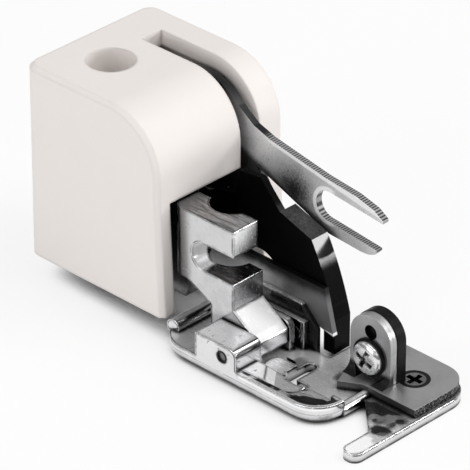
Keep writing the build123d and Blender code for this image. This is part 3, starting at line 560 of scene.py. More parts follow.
@dataclass(frozen=True)
class ShankChrome(ChromeCasting):
    """Chrome of the shank: painted dark reflection on the top faces, painted shade on the lower jaw's front,
    a painted highlight on the upper jaw's front, a frosted slant and slot end painted bright as a highlight,
    and painted shade towards the back edge.
    """

    # Painted reflection: the top faces are painted dark, streaked lighter.
    top: Colour = grey(0.10, 0.002)
    top_reflection_streak: Colour = grey(0.42)
    top_facing_z: Span = (0.80, 0.94)
    streak: Grain = Grain(2.6, 5.0, 0.72, (0.36, 0.66), (1.0, 0.12, 1.0))
    # Painted shade on the lower jaw's front.
    jaw: Colour = grey(0.66)
    jaw_facing_y: Span = (-0.75, -0.95)
    jaw_foot_z: Span = (8.6, 11.9)
    jaw_top_z: Span = (12.6, 12.0)
    border: Grain = Grain(0.5, 4.0, 0.65, reach=2.2)
    # Painted highlight on the upper jaw's front.
    jaw_highlight: Colour = grey(0.96, 0.01)
    jaw_highlight_z: Span = (14.5, 16.2)
    # Painted shade towards the back edge.
    rear_shade: Colour = grey(0.13, 0.002)
    rear_shade_y: Span = (1.6, 5.2)
    # Painted highlight on the forward slant and in the slot's end, which are also frosted.
    slant: Colour = grey(0.94, 0.01)
    slant_up: float = 0.75
    slant_forward: float = 0.66
    slant_span: Span = (0.90, 0.97)
    slant_frost: float = 0.9
    slot_at: Spot = (0.0, 13.7)
    slot_rim: Span = (2.35, 2.05)
    slot_y: Span = (-0.6, 0.4)
    slot_frost: float = 0.8

    def slanting(self, graph: Graph) -> Signal:
        """Faces that slope forward like the tongue's front."""
        slope = self.slant_up * graph.facing(Axis.Z) - self.slant_forward * graph.facing(Axis.Y)
        return graph.rise(slope, self.slant_span)

    def slot_end(self, graph: Graph) -> Signal:
        """Round end of the screw slot, with the countersunk ring round it."""
        return graph.rise(graph.away(self.slot_at), self.slot_rim) * graph.beyond(Axis.Y, self.slot_y)

    def metal(self, graph: Graph) -> Operand:
        """Less metallic on the frosted slant and in the slot's end."""
        return 1.0 - (self.slant_frost * self.slanting(graph)).most(self.slot_frost * self.slot_end(graph))

    def ground(self, graph: Graph) -> list[Coat]:
        """Coats for the painted dark reflection on top, the painted shade and highlight on the jaws' fronts,
        the painted shade towards the back edge, and the painted highlight on the slant and slot end.

        Args:
            graph: Tree that the nodes go into.

        Returns:
            The coats, the lowest first.
        """
        top = graph.mix(graph.patches(self.streak), self.top, self.top_reflection_streak)
        front = graph.turned(Axis.Y, self.jaw_facing_y)
        uneven = graph.along(Axis.Z) + graph.wander(self.border)
        low = graph.rise(uneven, self.jaw_foot_z) * graph.beyond(Axis.Z, self.jaw_top_z)
        return [
            # Painted reflection: dark on the faces that look up.
            (graph.turned(Axis.Z, self.top_facing_z), top),
            # Painted shade on the lower jaw's front.
            (front * low, self.jaw),
            # Painted highlight on the upper jaw's front.
            (front * graph.beyond(Axis.Z, self.jaw_highlight_z), self.jaw_highlight),
            # Painted shade towards the back edge.
            (graph.beyond(Axis.Y, self.rear_shade_y), self.rear_shade),
            # Painted highlight on the slant and the slot's end.
            (self.slanting(graph).most(self.slot_end(graph)), self.slant),
        ]


@dataclass(frozen=True)
class ReflectionPatch:
    """Soft patch of painted reflection, where the plate is painted darker or brighter."""

    centre: Point
    reach: Point
    tone: float
    share: float = 1.0
    swirl: float | None = None
    fade: Span = (1.05, 0.6)
    border: Grain = Grain(0.7, 4.0, 0.6, reach=0.8)

    def colour(self, graph: Graph) -> Tint:
        """Colour of the patch: one grey, or swirls of two greys."""
        if self.swirl is None:
            return grey(self.tone, 0.0)
        return graph.mix(graph.streaks(), grey(self.tone, 0.0), grey(self.swirl, 0.0))

    def mask(self, graph: Graph) -> Signal:
        """How much of the patch lies on each spot.

        Args:
            graph: Tree that the nodes go into.

        Returns:
            The share of the patch, from 0 to 1.
        """
        total: Operand = 0.0
        for axis in Axis:
            off = (graph.along(axis) - self.centre[axis.value]) * (1.0 / self.reach[axis.value])
            total = off * off + total
        uneven = total.root() + graph.wander(self.border)
        return self.share * graph.rise(uneven, self.fade)


@dataclass(frozen=True)
class SoleChrome(ChromeCasting):
    """Chrome of the sole: pitted hinge block, hazy deck, painted highlight on the rolled rim, painted shade
    low on the flanks, and painted reflection in the gutter and in patches, dark and bright.
    """

    # Painted reflection: the dark and bright patches laid on the plate.
    reflection_patches: tuple[ReflectionPatch, ...] = ()
    bright_patch_tone: float = 0.9
    bright_patch_frost: float = 0.95
    deck_facing_z: Span = (0.86, 0.96)
    deck_frost: float = 0.45
    deck_haze: float = 0.20
    pits_z: Span = (4.9, 5.1)
    corner: Spot = (-6.0, -20.7)
    corner_radius: float = 4.5
    border: Grain = Grain(0.8, 4.0, 0.6, reach=0.7)
    # Painted reflection: dark swirls in the gutter inside the rim.
    gutter: Colour = grey(0.02, 0.001)
    gutter_width: float = 1.25
    gutter_swell: float = 2.9
    gutter_swell_y: Span = (-15.0, -20.0)
    gutter_start: Span = (0.4, 0.55)
    gutter_end: Span = (-0.1, 0.35)
    gutter_x: Span = (-4.6, -5.8)
    gutter_y: Span = (-10.9, -11.5)
    gutter_z: Span = (0.9, 1.1)
    gutter_facing_z: Span = (-0.2, 0.1)
    gutter_streaks: float = 0.6
    # Painted highlight along the rolled rim's lip.
    lip: Colour = grey(0.97, 0.01)
    lip_span: Span = (0.5, 0.35)
    lip_z: Span = (2.2, 2.6)
    # Painted shade on the flanks, darker towards the bottom.
    keel: Colour = grey(0.26)
    keel_share: float = 0.8
    keel_facing_z: Span = (0.5, 0.1)
    keel_y: Span = (-26.0, -25.0)
    keel_z: Span = (2.1, 0.2)

    def inward(self, graph: Graph) -> Signal:
        """How far each spot lies inside the rim's outline, in millimetres."""
        side, toe = ((end - graph.along(axis)).most(0.0) for end, axis in zip(self.corner, (Axis.X, Axis.Y)))
        return self.corner_radius - (side * side + toe * toe).root()

    def ground(self, graph: Graph) -> list[Coat]:
        """Coats for the painted reflection patches, the painted dark reflection swirled in the gutter and
        painted highlight on the rim's lip, and the painted shade low on the flanks.

        Args:
            graph: Tree that the nodes go into.

        Returns:
            The coats, the lowest first.
        """
        patches = [(painted_patch.mask(graph), painted_patch.colour(graph)) for painted_patch in self.reflection_patches]
        inward, uneven = self.inward(graph), graph.wander(self.border)
        width = self.gutter_width + self.gutter_swell * graph.beyond(Axis.Y, self.gutter_swell_y)
        inside = graph.rise(inward, self.gutter_start) * graph.rise(width - inward + uneven, self.gutter_end)
        here = graph.beyond(Axis.Y, self.gutter_y) * graph.beyond(Axis.X, self.gutter_x)
        upward = graph.turned(Axis.Z, self.gutter_facing_z) * graph.beyond(Axis.Z, self.gutter_z)
        # Painted reflection: the gutter's dark, swirled with the lip's bright.
        swirled_reflection = graph.mix(self.gutter_streaks * graph.streaks(), self.gutter, self.lip)
        # Painted highlight along the rim's lip.
        lip_highlight = graph.rise(inward, self.lip_span) * graph.beyond(Axis.Z, self.lip_z) * here
        flank = graph.turned(Axis.Z, self.keel_facing_z) * graph.beyond(Axis.Y, self.keel_y)
        # Painted shade low on the flanks.
        low = self.keel_share * flank * graph.rise(graph.along(Axis.Z) + uneven, self.keel_z)
        return [*patches, (inside * here * upward, swirled_reflection), (lip_highlight, self.lip), (low, self.keel)]

    def haze(self, graph: Graph) -> Operand:
        """Haze on the faces that look straight up."""
        return self.deck_haze * graph.turned(Axis.Z, self.deck_facing_z)

    def pitted(self, graph: Graph) -> Operand:
        """Pits on the top of the hinge block."""
        return graph.beyond(Axis.Z, self.pits_z)

    def metal(self, graph: Graph) -> Operand:
        """Less metallic on the faces that look straight up, least on the bright patches of painted
        reflection.

        Args:
            graph: Tree that the nodes go into.

        Returns:
            How metallic each spot is, from 0 to 1.
        """
        frost: Operand = self.deck_frost
        for painted_patch in self.reflection_patches:
            if painted_patch.tone > self.bright_patch_tone:
                frost = (self.bright_patch_frost * painted_patch.mask(graph)).most(frost)
        return 1.0 - frost * graph.turned(Axis.Z, self.deck_facing_z)


@dataclass(frozen=True)
class Slope:
    """Straight line across a plate's face, through a point at Y and Z, rising by so much for each mm of Y."""

    start: Spot
    rise: float

    def above(self, graph: Graph) -> Signal:
        """How far each spot lies above the line, in millimetres."""
        return graph.along(Axis.Z) - self.start[1] - self.rise * (graph.along(Axis.Y) - self.start[0])


@dataclass(frozen=True)
class RibbedSheet(PlatedMetal):
    """Steel sheet with painted highlight lines, painted shade in a cloud, along its lower edge and towards
    its back, and sheared, ribbed narrow edges.
    """

    # Painted shade on the face, and also the sheared edges' own dark between the ribs.
    dark: Colour = grey(0.02, 0.001)
    left_facing_x: Span = (-0.2, -0.6)
    # Painted shade towards the back.
    back_shade_y: Span = (3.0, 11.0)
    border: Grain = Grain(0.5, 3.0, 0.6, reach=2.4)
    # Painted shade cloud on the face, centred here.
    cloud_at: Spot = (-3.0, 19.2)
    cloud_reach: Span = (5.0, 0.0)
    cloud_share: float = 0.97
    cloud_fleck: float = 5.0
    # Painted shade band along the lower edge.
    belly: Slope = Slope((4.0, 20.0), 0.386)
    belly_span: Span = (1.5, 0.1)
    belly_y: Span = (-12.0, -9.0)
    belly_share: float = 0.92
    belly_wander: float = 0.3
    belly_fleck: float = 1.2
    fleck: Grain = Grain(3.2, 4.0, 0.72)
    fleck_span: Span = (0.02, 0.22)
    fleck_share: float = 0.45
    # Painted highlight lines inside the upper edge and round the slot's end.
    painted_highlight: Colour = grey(0.98)
    highlight_share: float = 0.9
    back: Slope = Slope((1.5, 24.75), 0.179)
    back_span: Span = (-0.62, -0.42)
    back_y: Span = (3.0, 1.0)
    mouth_at: Spot = (-9.0, 19.0)
    mouth_span: Span = (2.9, 2.7)
    mouth_y: Span = (-10.5, -9.3)
    edge_facing_x: Span = (0.5, 0.2)
    rib: Colour = grey(0.36)
    rib_pitch: float = 0.38
    rib_span: Span = (0.2, 0.8)
    rib_y: Span = (3.0, 1.5)

    def coats(self, graph: Graph) -> list[Coat]:
        """Coats for the painted shade, the painted highlight lines and the ribs.

        Args:
            graph: Tree that the nodes go into.

        Returns:
            The coats, the lowest first.
        """
        y, uneven = graph.along(Axis.Y), graph.wander(self.border)
        left = graph.turned(Axis.X, self.left_facing_x)
        ribs = 0.5 + 0.5 * (y * (2.0 * math.pi / self.rib_pitch)).sine()
        ridge = graph.rise(ribs, self.rib_span) * graph.rise(y, self.rib_y)
        edge = graph.rise(graph.facing(Axis.X).size(), self.edge_facing_x)
        return [
            # Painted shade: the cloud and the band along the lower edge.
            (self.painted_shade(graph, uneven) * left, self.dark),
            # Painted shade towards the back.
            (graph.rise(y + uneven, self.back_shade_y), self.dark),
            # Painted highlight lines.
            (self.highlight_share * left * self.highlight_lines(graph), self.painted_highlight),
            (edge, graph.mix(ridge, self.dark, self.rib)),
        ]

    def metal(self, graph: Graph) -> Operand:
        """Less metallic on the painted highlight lines, so that they show white."""
        return self.metallic * (1.0 - self.highlight_lines(graph))

    def painted_shade(self, graph: Graph, uneven: Signal) -> Signal:
        """Painted shade: a mottled dark cloud on the face and a dark strip along its lower edge, with random
        dark flecks.

        Args:
            graph: Tree that the nodes go into.
            uneven: Noise that makes the borders uneven.

        Returns:
            How dark each spot is, from 0 to 1.
        """
        fleck = graph.wander(self.fleck)
        cloud = graph.rise(graph.away(self.cloud_at) + uneven + self.cloud_fleck * fleck, self.cloud_reach)
        height = self.belly.above(graph) + self.belly_wander * uneven + self.belly_fleck * fleck
        low = self.belly_share * graph.rise(height, self.belly_span) * graph.beyond(Axis.Y, self.belly_y)
        speck = self.fleck_share * graph.rise(fleck, self.fleck_span)
        return (self.cloud_share * cloud).most(low).most(speck)

    def highlight_lines(self, graph: Graph) -> Signal:
        """Painted highlight lines inside the upper edge and round the slot's end."""
        upper = graph.rise(self.back.above(graph), self.back_span) * graph.beyond(Axis.Y, self.back_y)
        ring = graph.rise(graph.away(self.mouth_at), self.mouth_span) * graph.beyond(Axis.Y, self.mouth_y)
        return upper.most(ring)


@dataclass(frozen=True)
class GroundBlade(PlatedMetal):
    """Ground knife steel: light towards its back, dark towards its point, with a painted highlight line along
    its cutting edge and, on some blades, painted shade along its top.
    """

    dark: Colour = grey(0.05, 0.002)
    dark_y: Span = (-2.0, -11.0)
    edge_highlight_z: Span = (7.15, 7.3)
    # Painted shade along the blade's top.
    top_shade_z: Span | None = None
    # Painted highlight along the cutting edge.
    edge_highlight: Colour = grey(0.92, 0.01)
    top_shade: Colour = grey(0.008, 0.0005)
    top_shade_wander: float = 0.3
    border: Grain = Grain(0.45, 4.0, 0.65, reach=4.0)

    def coats(self, graph: Graph) -> list[Coat]:
        """Coats for the darkening towards the point, the painted shade along the top where it has one, and
        the painted highlight line along the cutting edge.

        Args:
            graph: Tree that the nodes go into.

        Returns:
            The coats, the lowest first.
        """
        z, uneven = graph.along(Axis.Z), graph.wander(self.border)
        coats: list[Coat] = [(graph.rise(graph.along(Axis.Y) + uneven, self.dark_y), self.dark)]
        if self.top_shade_z is not None:
            # Painted shade along the top.
            coats.append((graph.rise(z + self.top_shade_wander * uneven, self.top_shade_z), self.top_shade))
        # Painted highlight along the cutting edge.
        return [*coats, (graph.rise(z, self.edge_highlight_z), self.edge_highlight)]


@dataclass(frozen=True)
class BentSheet(PlatedMetal):
    """Satin sheet with painted shade in the bend at its foot and in its hole."""

    hole_at: Spot = (0.0, 0.0)
    hole_shade_span: Span = (1.05, 1.0)
    # Painted shade in the bend at the foot and in the hole.
    dark: Colour = grey(0.028, 0.001)
    bend_shade_z: Span = (4.4, 3.4)
    border: Grain = Grain(1.2, 3.0, 0.6, reach=0.5)

    def coats(self, graph: Graph) -> list[Coat]:
        """Coat of painted shade in the bend and the hole.

        Args:
            graph: Tree that the nodes go into.

        Returns:
            The one coat.
        """
        uneven = graph.along(Axis.Z) + graph.wander(self.border)
        hole = graph.rise(graph.away(self.hole_at), self.hole_shade_span)
        # Painted shade in the bend and the hole.
        return [(graph.rise(uneven, self.bend_shade_z).most(hole), self.dark)]


@dataclass(frozen=True)
class ShearedSheet(PlatedMetal):
    """Satin sheet with a speckled sheared front edge, dark cut sides and a spot of painted shade behind a
    hole, so that the hole looks deep.
    """

    hole_at: Spot = (0.0, 0.0)
    hole_shade_span: Span = (1.2, 1.0)
    # Dark of the sheared edges, and also the painted shade behind the hole.
    dark: Colour = grey(0.018, 0.001)
    torn: Colour = grey(0.30)
    torn_facing_y: Span = (0.4, 0.8)
    speck: Grain = Grain(4.0, 3.0, 0.7, (0.48, 0.66))
    side: Colour = grey(0.13, 0.002)
    side_foot: Colour = grey(0.02, 0.001)
    side_z: Span = (1.5, 1.9)
    edge_facing_z: Span = (0.6, 0.25)
    edge_z: Span = (2.75, 2.55)

    def coats(self, graph: Graph) -> list[Coat]:
        """Coats for the sheared edges and the painted shade behind the hole.

        Args:
            graph: Tree that the nodes go into.

        Returns:
            The coats, the lowest first.
        """
        torn = graph.mix(graph.patches(self.speck), self.dark, self.torn)
        cut = graph.mix(graph.beyond(Axis.Z, self.side_z), self.side_foot, self.side)
        edges = graph.mix(graph.rise(graph.facing(Axis.Y).size(), self.torn_facing_y), cut, torn)
        upright = graph.rise(graph.facing(Axis.Z).size(), self.edge_facing_z)
        # Painted shade behind the ear's hole.
        hole = graph.rise(graph.away(self.hole_at), self.hole_shade_span)
        return [(upright * graph.beyond(Axis.Z, self.edge_z), edges), (hole, self.dark)]


@dataclass(frozen=True)
class BlackOxide(Finish):
    """Black oxide on steel: dark, oily sheen with worn, lighter patches."""

    name: str
    colour: Colour = grey(0.006, 0.0005)
    worn: Colour = (0.05, 0.049, 0.048)
    metallic: float = 0.55
    roughness: float = 0.34
    sheen: float = 0.2
    edge_mm: float = 0.12
    wear: Grain = Grain(0.9, 5.0, 0.65, (0.55, 0.8))
    wear_polish: float = 0.08
    tooth: Grain = Grain(11.0, 2.0, 0.6)
    tooth_rough: float = 0.16
    tooth_depth: float = 0.004

    def draw(self, graph: Graph) -> None:
        """Draws the oxide with wear and a fine tooth.

        Args:
            graph: Empty tree that the nodes go into.
        """
        wear, tooth = graph.patches(self.wear), graph.noise(self.tooth)
        graph.surface({
            "Base Color": graph.mix(wear, self.colour, self.worn),
            "Roughness": self.roughness + self.tooth_rough * tooth - self.wear_polish * wear,
            "Metallic": self.metallic,
            "Specular IOR Level": self.sheen,
            "Normal": graph.bump(tooth, self.tooth_depth, self.edge_mm),
        })


EAR_HOLE = (-23.2, 9.2)
# Painted reflections on the sole: dark patches, two of them swirled, and one bright patch at the toe.
SOLE_REFLECTION_PATCHES = (
    ReflectionPatch((-7.7, -21.2, 1.3), (1.9, 4.2, 1.2), 0.03, 0.9),
    ReflectionPatch((-2.6, -28.4, 1.3), (3.2, 5.2, 0.9), 0.02, 1.0, 0.22),
    ReflectionPatch((-5.6, -31.4, 1.3), (1.5, 1.7, 0.9), 0.012, 1.0, 0.14),
    ReflectionPatch((-0.6, -28.4, 1.3), (0.8, 4.6, 0.8), 0.16, 0.8),
    ReflectionPatch((0.2, -19.6, 1.3), (1.5, 1.5, 0.8), 0.06, 0.8),
    ReflectionPatch((-2.0, -13.0, 1.3), (2.6, 1.4, 0.8), 0.10, 0.7),
    ReflectionPatch((-9.9, -31.6, 1.3), (3.0, 2.2, 0.8), 0.98, 1.0),
)
WHITE_SHELL = WhiteMoulding("white_shell", (0.875, 0.832, 0.805), (0.845, 0.792, 0.762))
BLACK_ARM = BlackMoulding("black_arm")
CHROME_SHANK = ShankChrome(
    "chrome_shank", grey(0.70, 0.01), grey(0.54, 0.01), 0.20, Axis.Z, brush_scale=7.0, brush_depth=0.003,
    wave_depth=0.006, edge_mm=0.3, reflection_line_reach=0.55,
)
CHROME_SOLE = SoleChrome(
    "chrome_sole", grey(0.84, 0.01), grey(0.62, 0.01), 0.06, Axis.Y, brush_scale=8.0, brush_depth=0.0012,
    smudge=0.07, wave_depth=0.018, pits=0.8, edge_mm=0.3, reflection_line_reach=0.6,
    crease_shade_reach=1.3, crease_shade_span=(0.88, 0.42), reflection_patches=SOLE_REFLECTION_PATCHES,
)
LEDGE_CHROME = ChromeCasting(
    "ledge_chrome", grey(0.98, 0.01), grey(0.80, 0.01), 0.22, Axis.Y, brush_scale=3.0, brush_depth=0.004,
    pits=0.9, metallic=0.1, edge_mm=0.35, reflection_line_reach=0.5, crease_shade_reach=0.9,
)
FORK_SHEET = RibbedSheet(
    "fork_sheet", grey(0.90), grey(0.66), 0.30, Axis.Y, brush_scale=10.0, brush_depth=0.002, metallic=0.4,
)
MOVING_BLADE = GroundBlade(
    "moving_blade", grey(0.86), grey(0.62), 0.34, Axis.Z, brush_scale=12.0, brush_depth=0.003, metallic=0.6,
    dark=grey(0.16, 0.003), dark_y=(-2.0, -8.0), edge_highlight_z=(4.62, 4.5), top_shade_z=(8.5, 10.2),
)
FIXED_BLADE = GroundBlade(
    "fixed_blade", grey(0.36), grey(0.22), 0.24, Axis.Z, brush_scale=12.0, brush_depth=0.003,
)
SATIN_SHEET = ShearedSheet(
    "satin_sheet", grey(0.56), grey(0.38), 0.40, Axis.Y, brush_scale=8.0, brush_depth=0.004, hole_at=EAR_HOLE,
)
EAR_SHEET = BentSheet(
    "ear_sheet", grey(0.54), grey(0.40), 0.36, Axis.Z, brush_scale=8.0, brush_depth=0.004, hole_at=EAR_HOLE,
)
ZINC_PLATE = PlatedMetal(
    "zinc_plate", grey(0.74), grey(0.56), 0.14, Axis.X, brush_scale=6.0, brush_depth=0.002,
)
SCREW_HEAD = ChromeCasting(
    "screw_head", grey(0.95), grey(0.60), 0.18, Axis.X, brush_scale=6.0, brush_depth=0.004,
    pits=0.7, metallic=0.75, edge_mm=0.1, crease_shade_reach=0.8, crease_shade_span=(0.8, 0.35),
)
FLAT_HEAD = ChromeCasting(
    "flat_head", grey(0.26), grey(0.08, 0.002), 0.26, Axis.X, brush_scale=7.0, brush_depth=0.004,
    edge_mm=0.1, crease_shade_reach=0.9, crease_shade_span=(0.9, 0.45),
)
BLACK_SCREW = BlackOxide("black_screw")
PIN_END = BlackOxide("pin_end", grey(0.20, 0.002), grey(0.40, 0.002), 0.9)
# Painted shade: near-black rings laid round the hinge pin's end and in the flat screw's countersink.
CREASE_SHADE = BlackOxide("crease", grey(0.004, 0.0002), grey(0.02, 0.001), 0.1)


@dataclass
class SubAssembly:
    """Pieces that belong together: CAD nodes that get a finish, and meshes that are added to them."""

    nodes: dict[str, Object]
    title: ClassVar[str] = ""
    body: ClassVar[str] = "frame"
    finishes: ClassVar[dict[str, Finish]] = {}

    def build(self) -> list[Object]:
        """Makes the meshes that the CAD frame doesn't have; most sub-assemblies have none."""
        return []

    def dress(self) -> None:
        """Gives each node its finish."""
        for node, finish in self.finishes.items():
            piece = self.nodes[node]
            piece.data.materials.clear()
            piece.data.materials.append(finish.material())
            LOG.info("%s: dressed %s in %s", self.title, node, finish.name)

    def add_mesh(
        self, name: str, points: list[Point], faces: list[tuple[int, ...]], finish: Finish, slot: str
    ) -> Object:
        """Adds a mesh that rides on this sub-assembly's body.

        Args:
            name: Name of the piece.
            points: Corners in millimetres.
            faces: Corner numbers of each face.
            finish: Finish of the piece.
            slot: Material slot of the record that it belongs to; not used.

        Returns:
            The new object.
        """
        mesh = bpy.data.meshes.new(name)
        mesh.from_pydata([tuple(value * MM for value in point) for point in points], [], faces)
        mesh.materials.append(finish.material())
        piece = new_object(name, mesh)
        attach(piece, self.body)
        return piece

    def add_lathe(
        self, name: str, rings: list[list[Point]], finish: Finish, slot: str, closed: bool = False
    ) -> Object:
        """Adds a mesh that joins rings of points, each to the next.

        Args:
            name: Name of the piece.
            rings: Rings with equally many points, in millimetres.
            finish: Finish of the piece.
            slot: Material slot of the record that it belongs to.
            closed: Whether the last ring is joined to the first.

        Returns:
            The new object.
        """
        steps = len(rings[0])
        faces: list[tuple[int, ...]] = []
        for row in range(len(rings) if closed else len(rings) - 1):
            first, second = row * steps, (row + 1) % len(rings) * steps
            for step in range(steps):
                after = (step + 1) % steps
                faces.append((first + step, second + step, second + after, first + after))
        return self.add_mesh(name, [point for ring in rings for point in ring], faces, finish, slot)


def ring_round(axis: Axis, centre: Point, radius: float, steps: int) -> list[Point]:
    """Points of a circle.

    Args:
        axis: Axis that the circle lies square to.
        centre: Centre in millimetres.
        radius: Radius in millimetres.
        steps: Number of points.

    Returns:
        The points, in order round the axis.
    """
    across, up = ((axis.value + 1) % 3, (axis.value + 2) % 3)
    points: list[Point] = []
    for step in range(steps):
        turn = 2.0 * math.pi * step / steps
        point = list(centre)
        point[across] += radius * math.cos(turn)
        point[up] += radius * math.sin(turn)
        points.append(tuple(point))
    return points


@dataclass
class Housing(SubAssembly):
    """White housing with its screw and what turns inside it."""

    title: ClassVar[str] = "housing"
    finishes: ClassVar[dict[str, Finish]] = {
        "housing": WHITE_SHELL,
        "housing_screw": ZINC_PLATE,
        "fork_shaft": ZINC_PLATE,
        "fork_spacer": ZINC_PLATE,
        "knife_shaft": ZINC_PLATE,
        "knife_spacer_left": ZINC_PLATE,
        "knife_spacer_right": ZINC_PLATE,
    }


@dataclass
class Shank(SubAssembly):
    """Chrome shank casting."""

    title: ClassVar[str] = "shank"
    finishes: ClassVar[dict[str, Finish]] = {"shank": CHROME_SHANK}


@dataclass
class ForkLever(SubAssembly):
    """Steel fork lever with its bush and crank pin."""

    title: ClassVar[str] = "fork"
    body: ClassVar[str] = "fork"
    finishes: ClassVar[dict[str, Finish]] = {
        "fork_plate": FORK_SHEET,
        "fork_bush": ZINC_PLATE,
        "crank_pin": ZINC_PLATE,
    }


@dataclass
class KnifeArm(SubAssembly):
    """Black knife arm with its blade."""

    title: ClassVar[str] = "knife"
    body: ClassVar[str] = "knife"
    finishes: ClassVar[dict[str, Finish]] = {
        "knife_arm": BLACK_ARM,
        "moving_knife": MOVING_BLADE,
        "knife_rivets": MOVING_BLADE,
    }


@dataclass
class Sole(SubAssembly):
    """Chrome sole with its hinge pin and the fixed knife."""

    title: ClassVar[str] = "sole"
    body: ClassVar[str] = "foot"
    finishes: ClassVar[dict[str, Finish]] = {
        "sole": CHROME_SOLE,
        "hinge_pin": PIN_END,
        "fixed_knife": FIXED_BLADE,
        "fixed_knife_rivets": ZINC_PLATE,
    }
    ledge_foot: tuple[Spot, ...] = ((-9.6, -10.72), (-6.4, -10.72), (-4.7, -13.6), (-8.6, -16.8))
    ledge_foot_z: float = 1.25
    ledge_top: tuple[Spot, ...] = ((-9.6, -10.72), (-6.5, -10.72), (-6.5, -12.4), (-9.4, -14.7))
    ledge_top_z: float = 3.05
    crease_at: Point = (-10.512, -8.2, 4.25)
    crease_radii: Span = (0.89, 0.63)
    crease_steps: int = 40

    def build(self) -> list[Object]:
        """Makes the ledge before the hinge block and the dark ring of painted shade round the hinge pin's
        end.
        """
        return [self.build_ledge(), self.build_crease_shade()]

    def build_ledge(self) -> Object:
        """Ledge at the rim's height, with a ramp down to the needle opening.

        Returns:
            The ledge.
        """
        count = len(self.ledge_top)
        points = [(x, y, self.ledge_foot_z) for x, y in self.ledge_foot]
        points += [(x, y, self.ledge_top_z) for x, y in self.ledge_top]
        faces: list[tuple[int, ...]] = [tuple(reversed(range(count))), tuple(range(count, 2 * count))]
        for corner in range(count):
            after = (corner + 1) % count
            faces.append((corner, after, after + count, corner + count))
        return self.add_mesh("needle_ledge", points, faces, LEDGE_CHROME, "chrome")

    def build_crease_shade(self) -> Object:
        """Dark ring of painted shade round the hinge pin's end on the block's left face.

        Returns:
            The ring.
        """
        centre, steps = self.crease_at, self.crease_steps
        rings = [ring_round(Axis.X, centre, radius, steps) for radius in self.crease_radii]
        # Painted shade round the pin's end.
        return self.add_lathe("pin_crease", rings, CREASE_SHADE, "black_steel")


